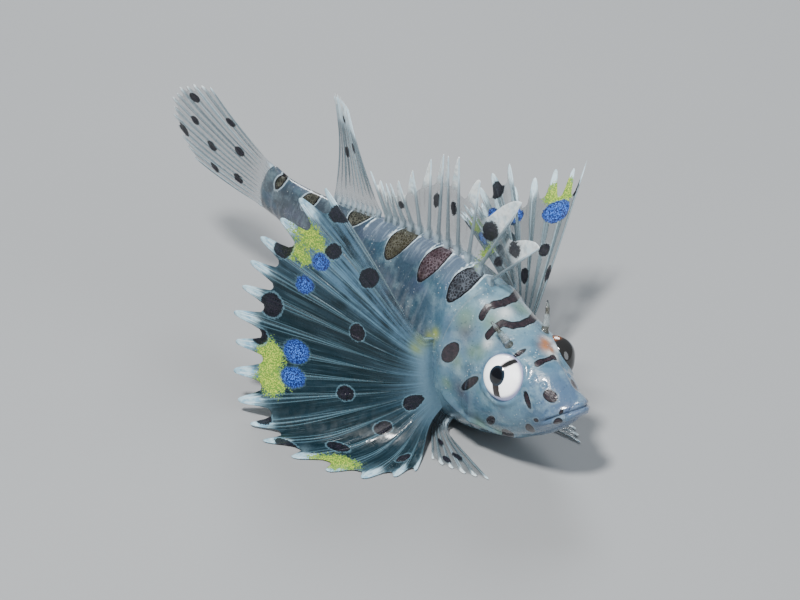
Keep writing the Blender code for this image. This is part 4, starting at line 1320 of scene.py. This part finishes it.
fin_piece("tail_fan", caudal_sheet, CAUDAL_RAYS, 40, waved, 0.045, 0.055, CAUDAL_MARKS, CLEAR_SKIN,
          "caudal_fin", tip_long=0.7, upper=lambda u, v: 0.35 + 0 * u)
fin_piece("anal_fan", anal_sheet, ANAL_RAYS, 28, waved, 0.045, 0.055, ANAL_MARKS, CLEAR_SKIN,
          "anal_fin", tip_long=0.6, upper=lambda u, v: 0.35 + 0 * u)
ray_strands("dorsal_soft_rays", dorsal_soft_sheet, SOFT_RAYS, forked, 0.036,
            lambda u, v: 0.95 + 0.05 * u, SOFT_MARKS, "dorsal_fin_soft", splits=(-0.7, 0.7),
            tip_long=1.6)
ray_strands("tail_rays", caudal_sheet, CAUDAL_RAYS, waved, 0.036, lambda u, v: 0.85 + 0.15 * u,
            CAUDAL_MARKS, "caudal_fin", splits=(-1, 0, 1), tip_long=0.6)
ray_strands("anal_rays", anal_sheet, ANAL_RAYS, waved, 0.036, lambda u, v: 0.6 + 0.3 * u,
            ANAL_MARKS, "anal_fin", splits=(-0.8, 0.8), tip_long=0.5)

# %% [markdown]
# ## The pelvic fins
# Under the breast two small clear fans spread forward and out over the floor. The fish props itself
# on them, so their sheets come down and lie flat.

# %% Pelvic fins
PELVIC_RAYS = 6


def pelvic_sheet(side):
    """The sheet of one pelvic fin, which reaches forward and lies on the floor."""
    sign = 1 if side == "left" else -1

    def point(u, v):
        share, grown = v / (PELVIC_RAYS - 1), np.maximum(u, 0)
        s = 7.9 + 0.9 * share
        turn = 0 * s + sign * 147
        root = body_point(s, turn, 0.5)
        outward = unit(root - body_point(s, turn))
        heading = np.radians(10 + 26 * share)
        ray = np.stack([np.cos(heading), sign * np.sin(heading), -0.5 + 0 * heading], -1)
        leave = 0.4 * (1 - np.exp(-grown * 14)) + np.minimum(u, 0) / SINK * 0.8
        length = (4.8 - 1.6 * share) * grown
        return above_floor(root + outward * leave[..., None] + ray * length[..., None], grown)

    return point


PELVIC_MARKS = {"dark": [(1.6, 0.62, 0.6, 0.07), (3.4, 0.42, 0.5, 0.07), (3.2, 0.8, 0.5, 0.07)]}
for side in ("left", "right"):
    fin_piece(f"pelvic_fan_{side}", pelvic_sheet(side), PELVIC_RAYS, 36, waved, 0.045, 0.055,
              PELVIC_MARKS, CLEAR_SKIN, f"pelvic_fin_{side}", tip_long=0.8,
              upper=lambda u, v: 0.4 + 0 * u)
    ray_strands(f"pelvic_rays_{side}", pelvic_sheet(side), PELVIC_RAYS, waved, 0.036,
                lambda u, v: 0.7 + 0.3 * u, PELVIC_MARKS, f"pelvic_fin_{side}",
                splits=(-0.9, 0, 0.9), tip_long=0.6)

# %% [markdown]
# ## The eyes
# The eye is what a viewer meets first. Its iris is a bright, faintly pink white, the pupil is a
# small upright oval of blue black that looks a little up and out, a brown bar runs down from it and
# a smoky mark lies over it. All of that sits under a clear, wet cornea, which bulges a little, so
# the eye is a real form with a coat and not a painted disc. In strong light the white throws back
# so much that a camera shows it as pure white, so here the white has a painted glow, a light of its
# own, and its dark parts none. The top, front and inner side of the left eye, which face the camera,
# are darkened with painted shade.

# %% The eye's finish
EYE, tree, shader = new_material(
    "white_eye", Roughness=0.12, Coat_Weight=1.0, Coat_Roughness=0.02, IOR=1.38,
    Emission_Strength=1.5,
)
shade = blend(tree, step(tree, noise(tree, 1.4, 3.0), 0.45, 0.75), (0.97, 0.98, 0.99, 1),
              (0.88, 0.87, 0.93, 1))
shade = blend(tree, step(tree, mark(tree, "from_pupil"), 0.98, 1.22), shade, (0.20, 0.20, 0.30, 1))
shade = lay(tree, shade, (0.78, 0.42, 0.46, 1), mark(tree, "blush"), 0.55)
stir = calc(tree, "MULTIPLY_ADD", noise(tree, 5.0), 0.4, -0.2)
# The smoky mark over the eye; on the left eye this mask also carries painted shade on the side that
# faces the camera.
smoke_and_shade = step(tree, calc(tree, "ADD", mark(tree, "smoke_and_shade"), stir), 0.25, 0.7)
shade = blend(tree, smoke_and_shade, shade, (0.020, 0.020, 0.020, 1))
shade = blend(tree, step(tree, mark(tree, "rust"), 0.2, 0.8, 0.0, 0.9), shade,
              (0.26, 0.085, 0.030, 1))
ragged_bar = calc(tree, "ADD", mark(tree, "bar"), times(tree, noise(tree, 6.0), 0.05))
bar = step(tree, ragged_bar, 0.0, 0.05)
shade = blend(tree, bar, shade, (0.022, 0.010, 0.009, 1))
hole = step(tree, mark(tree, "pupil"), -0.012, 0.012)
deep = blend(tree, step(tree, mark(tree, "pupil"), 0.02, 0.11), (0.012, 0.028, 0.050, 1),
             (0.002, 0.003, 0.006, 1))
shade = blend(tree, hole, shade, deep)
tree.links.new(shade, shader.inputs["Base Color"])
# Painted glow: the white of the eye gives light of its own; its pupil, bar and dark marks give none.
white = blend(tree, calc(tree, "MAXIMUM", calc(tree, "MAXIMUM", bar, hole), smoke_and_shade), shade,
              (0, 0, 0, 1))
tree.links.new(white, shader.inputs["Emission Color"])
tree.links.new(fine_relief(tree, noise(tree, 7.0, 2.0), 0.15, 0.02), shader.inputs["Normal"])
print("eye material has", len(tree.nodes), "nodes")

# %% Build the eyes
PUPIL_WIDE, PUPIL_HIGH = 0.385, 0.47


def build_eye(side, sign):
    """An eye as rings round its pupil, squeezed to the real form, with a bulging cornea."""
    turn = math.radians(-9 * sign)
    c, s = math.cos(turn), math.sin(turn)
    axes = np.array([[c, s, 0], [-s, c, 0], [0, 0, 1.0]])
    look = unit(np.array([0.33, sign * 0.78, 0.53]))
    pole = unit((axes @ look) / EYE_HALF)
    beside = unit(np.cross([0, 0, 1.0], pole))
    over = np.cross(pole, beside)
    rings, spokes = 56, 96
    tilt = math.pi * (np.linspace(0, 1, rings + 2)[1:-1] ** 1.25)[:, None]
    spin = (np.arange(spokes) * 2 * math.pi / spokes)[None, :]
    ball = np.cos(tilt)[..., None] * pole + np.sin(tilt)[..., None] * (
        np.cos(spin)[..., None] * beside + np.sin(spin)[..., None] * over)
    ball = np.concatenate([ball.reshape(-1, 3), [pole, -pole]])
    form = (ball * EYE_HALF) @ axes
    normal = unit((ball / EYE_HALF) @ axes)
    centre = (pole * EYE_HALF) @ axes
    facing = unit((pole / EYE_HALF) @ axes)
    x_way = unit(np.cross([0, 0, 1.0], facing))
    y_way = np.cross(facing, x_way)
    away = form - centre
    x, y = away @ x_way, away @ y_way
    front = (away @ facing) > -0.75
    radius = np.linalg.norm(away, axis=-1)
    form = form + normal * (0.07 * np.clip(1 - (radius / 0.8) ** 2, 0, 1) ** 2)[:, None]
    x = x * sign
    smoke_and_shade = bump(np.hypot((x + 0.34 + 0.7 * (y - 0.70)) / 0.8, (y - 0.68) / 1.5), 0.24) * front
    # Painted shade: the top, front and inner side of the left eye, which face the camera, are
    # darkened.
    painted_shade_on_left_eye = (sign > 0) * 0.85 * eased((normal @ unit([0.55, -0.45, 0.70]) + 0.05) / 0.30)
    bar = 0.17 - np.maximum(np.abs(x + 0.02), np.abs(y + 0.68) - 0.17)
    marks = {
        "pupil": np.where(front, (1 - np.hypot(x / PUPIL_WIDE, y / PUPIL_HIGH)) * 0.3, OUTSIDE),
        "bar": np.where(front, bar, OUTSIDE),
        "smoke_and_shade": np.maximum(smoke_and_shade, painted_shade_on_left_eye),
        "rust": bump(np.hypot(x - 0.10, y - 1.05), 0.34) * (sign > 0),
        "blush": bump(np.hypot(x + 0.16, (y - 0.50) / 1.6), 0.09) * front,
        "from_pupil": radius,
    }
    if side == "left":
        form = form * LEFT_EYE_SIZE
    eye = add_piece(f"eyeball_{side}", form + eye_seat(sign), closed_tube(rings, spokes), marks,
                    EYE)
    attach(eye, "root")
    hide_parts(f"eye_{side}")


for side, sign in (("left", 1), ("right", -1)):
    build_eye(side, sign)

# %% [markdown]
# ## The tentacles over the eyes
# Over each eye stands a small soft tentacle. In so young a fish it is nearly glass, and only its
# edges show dark. Fresnel would move that dark edge with the viewer, so it is painted shade instead:
# a fixed dark band along the tentacle's two sides and its tip.

# %% Tentacles
FLESHY, tree, shader = new_material("clear_tentacle", Coat_Weight=0.6, Coat_Roughness=0.06,
                                    IOR=1.36)
ragged_edge = calc(tree, "ADD", mark(tree, "edge"), times(tree, noise(tree, 5.0), 0.3))
# Painted shade of the glassy edges: a dark, more solid band along the two sides and the tip.
painted_edge_shade = step(tree, ragged_edge, 0.75, 1.1)
milk = blend(tree, step(tree, noise(tree, 3.0), 0.35, 0.7), (0.20, 0.24, 0.22, 1),
             (0.42, 0.50, 0.54, 1))
banded = step(tree, calc(tree, "SINE", times(tree, mark(tree, "share"), 11.0)), 0.1, 0.7)
milk = lay(tree, milk, (0.045, 0.036, 0.018, 1), banded, 0.85)
tree.links.new(blend(tree, painted_edge_shade, milk, (0.045, 0.050, 0.060, 1)), shader.inputs["Base Color"])
solid = calc(tree, "MAXIMUM", step(tree, painted_edge_shade, 0.0, 1.0, 0.40, 0.92), times(tree, banded, 0.75))
tree.links.new(solid, shader.inputs["Alpha"])
tree.links.new(step(tree, noise(tree, 4.0), 0.3, 0.7, 0.18, 0.35), shader.inputs["Roughness"])
tree.links.new(fine_relief(tree, noise(tree, 8.0), 0.3, 0.03), shader.inputs["Normal"])
print("tentacle material has", len(tree.nodes), "nodes")


def build_tentacle(side, sign):
    """A tapered, slightly flattened tube with a waist and a rounded, split-looking tip."""
    root = body_point(4.1, sign * 30, -0.15)
    lean = unit(np.array([-0.15, sign * 0.45, 0.88]))
    along = unit(np.array([1, 0, 0]) - lean * lean[0])
    over = np.cross(lean, along)
    tip = 0.94 + 0.06 * np.sin(np.linspace(0.1, 1.5, 8))
    share = np.concatenate([np.linspace(0, 0.94, 40), tip])[:, None]
    spokes = 28
    spin = (np.arange(spokes) * 2 * math.pi / spokes)[None, :]
    radius = (0.17 * (1 - share) + 0.07) * (1 + 0.10 * np.sin(share * 26))
    radius = radius * np.sqrt(np.clip((1 - share) / 0.06, 0.02, 1))
    bow = np.array([-0.35, 0, 0]) * share[..., None] ** 2
    centre = root + lean * (1.5 * share[..., None]) + bow
    points = centre + radius[..., None] * (
        np.cos(spin)[..., None] * along * 0.8 + np.sin(spin)[..., None] * over)
    # Where the painted edge shade lies: along the two sides, and all round the tip.
    edge = np.abs(np.sin(spin)) ** 3 * (0.35 + 0.65 * share) + 0.6 * (share > 0.93)
    ends = np.array([centre[0, 0], points[-1].mean(axis=0) + lean * 0.01])
    faces = closed_tube(len(points), spokes)
    marks = {"edge": edge, "share": share + 0 * spin}
    marks = {label: np.append(values.ravel(), [0, 1]) for label, values in marks.items()}
    points = np.concatenate([points.reshape(-1, 3), ends])
    piece = add_piece(f"tentacle_{side}", points, faces, marks, FLESHY)
    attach(piece, "root")
    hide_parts(f"eye_tentacle_{side}")


for side, sign in (("left", 1), ("right", -1)):
    build_tentacle(side, sign)

# %% [markdown]
# ## Floor, light and camera
# The model stands on a plain pale floor in soft studio light. The key light is small and strong and
# comes from above the camera, so that wet flesh gets bright glints, and large fills keep the
# shadows open. The camera looks from the fish's right front quarter, from above, with a long lens.

# %% Floor and lights
AIM = (0, 0, 0.005)


def build_floor():
    """A plain pale floor, 1.2 m wide."""
    mesh = bpy.data.meshes.new("floor")
    half = 0.6
    corners = [(-half, -half, 0), (half, -half, 0), (half, half, 0), (-half, half, 0)]
    mesh.from_pydata(corners, [], [(0, 1, 2, 3)])
    finish, tree, shader = new_material("floor_paint", Roughness=0.85)
    tint = blend(tree, noise(tree, 0.02, 4.0), (0.31, 0.32, 0.33, 1), (0.36, 0.37, 0.38, 1))
    tree.links.new(tint, shader.inputs["Base Color"])
    mesh.materials.append(finish)
    floor = bpy.data.objects.new("floor", mesh)
    bpy.context.scene.collection.objects.link(floor)


def add_light(name, place, size, power, colour):
    """A round, soft light that looks at the fish."""
    lamp = bpy.data.lights.new(name, "AREA")
    lamp.shape, lamp.size, lamp.energy, lamp.color = "DISK", size, power, colour
    light = bpy.data.objects.new(name, lamp)
    light.location = place
    light.rotation_euler = (Vector(AIM) - Vector(place)).to_track_quat("-Z", "Y").to_euler()
    bpy.context.scene.collection.objects.link(light)


build_floor()
add_light("key", (0.07, -0.13, 0.27), 0.045, 1.35, (1.0, 0.99, 0.97))
add_light("fill", (0.26, 0.06, 0.12), 0.20, 0.32, (0.88, 0.94, 1.0))
add_light("rim", (-0.20, 0.16, 0.20), 0.14, 0.75, (0.92, 0.96, 1.0))
world = bpy.data.worlds.new("studio")
world.use_nodes = True
feed(world.node_tree, world.node_tree.nodes["Background"],
     {"Color": (0.80, 0.86, 0.92, 1), "Strength": 0.20})
bpy.context.scene.world = world

# %% The camera
CAMERA_TURN, CAMERA_RISE = 53.25, 30.19
PIXELS_PER_MM, DISTANCE = 21.15, 190.0
IMAGE_WIDTH, IMAGE_HEIGHT, SENSOR = 800, 600, 36.0
TARGET = np.array([-9.03, -0.62, 4.0])
MIDDLE = (451.8, 343.3)


def build_camera():
    """A long lens that looks at the target, which lies at MIDDLE in the picture."""
    turn, rise = math.radians(CAMERA_TURN), math.radians(CAMERA_RISE)
    level = math.cos(rise)
    forward = np.array([-math.sin(turn) * level, math.cos(turn) * level, -math.sin(rise)])
    lens = bpy.data.cameras.new("camera")
    lens.sensor_width = SENSOR
    lens.lens = PIXELS_PER_MM * DISTANCE / IMAGE_WIDTH * SENSOR
    lens.shift_x = (IMAGE_WIDTH / 2 - MIDDLE[0]) / IMAGE_WIDTH
    lens.shift_y = (MIDDLE[1] - IMAGE_HEIGHT / 2) / IMAGE_WIDTH
    lens.clip_start, lens.clip_end = 0.01, 10.0
    camera = bpy.data.objects.new("camera", lens)
    camera.location = (TARGET + SHIFT - forward * DISTANCE) * MM
    camera.rotation_euler = (math.radians(90) - rise, 0, turn)
    bpy.context.scene.collection.objects.link(camera)
    bpy.context.scene.camera = camera
    print("camera stands at (m):", [round(c, 3) for c in camera.location])


build_camera()
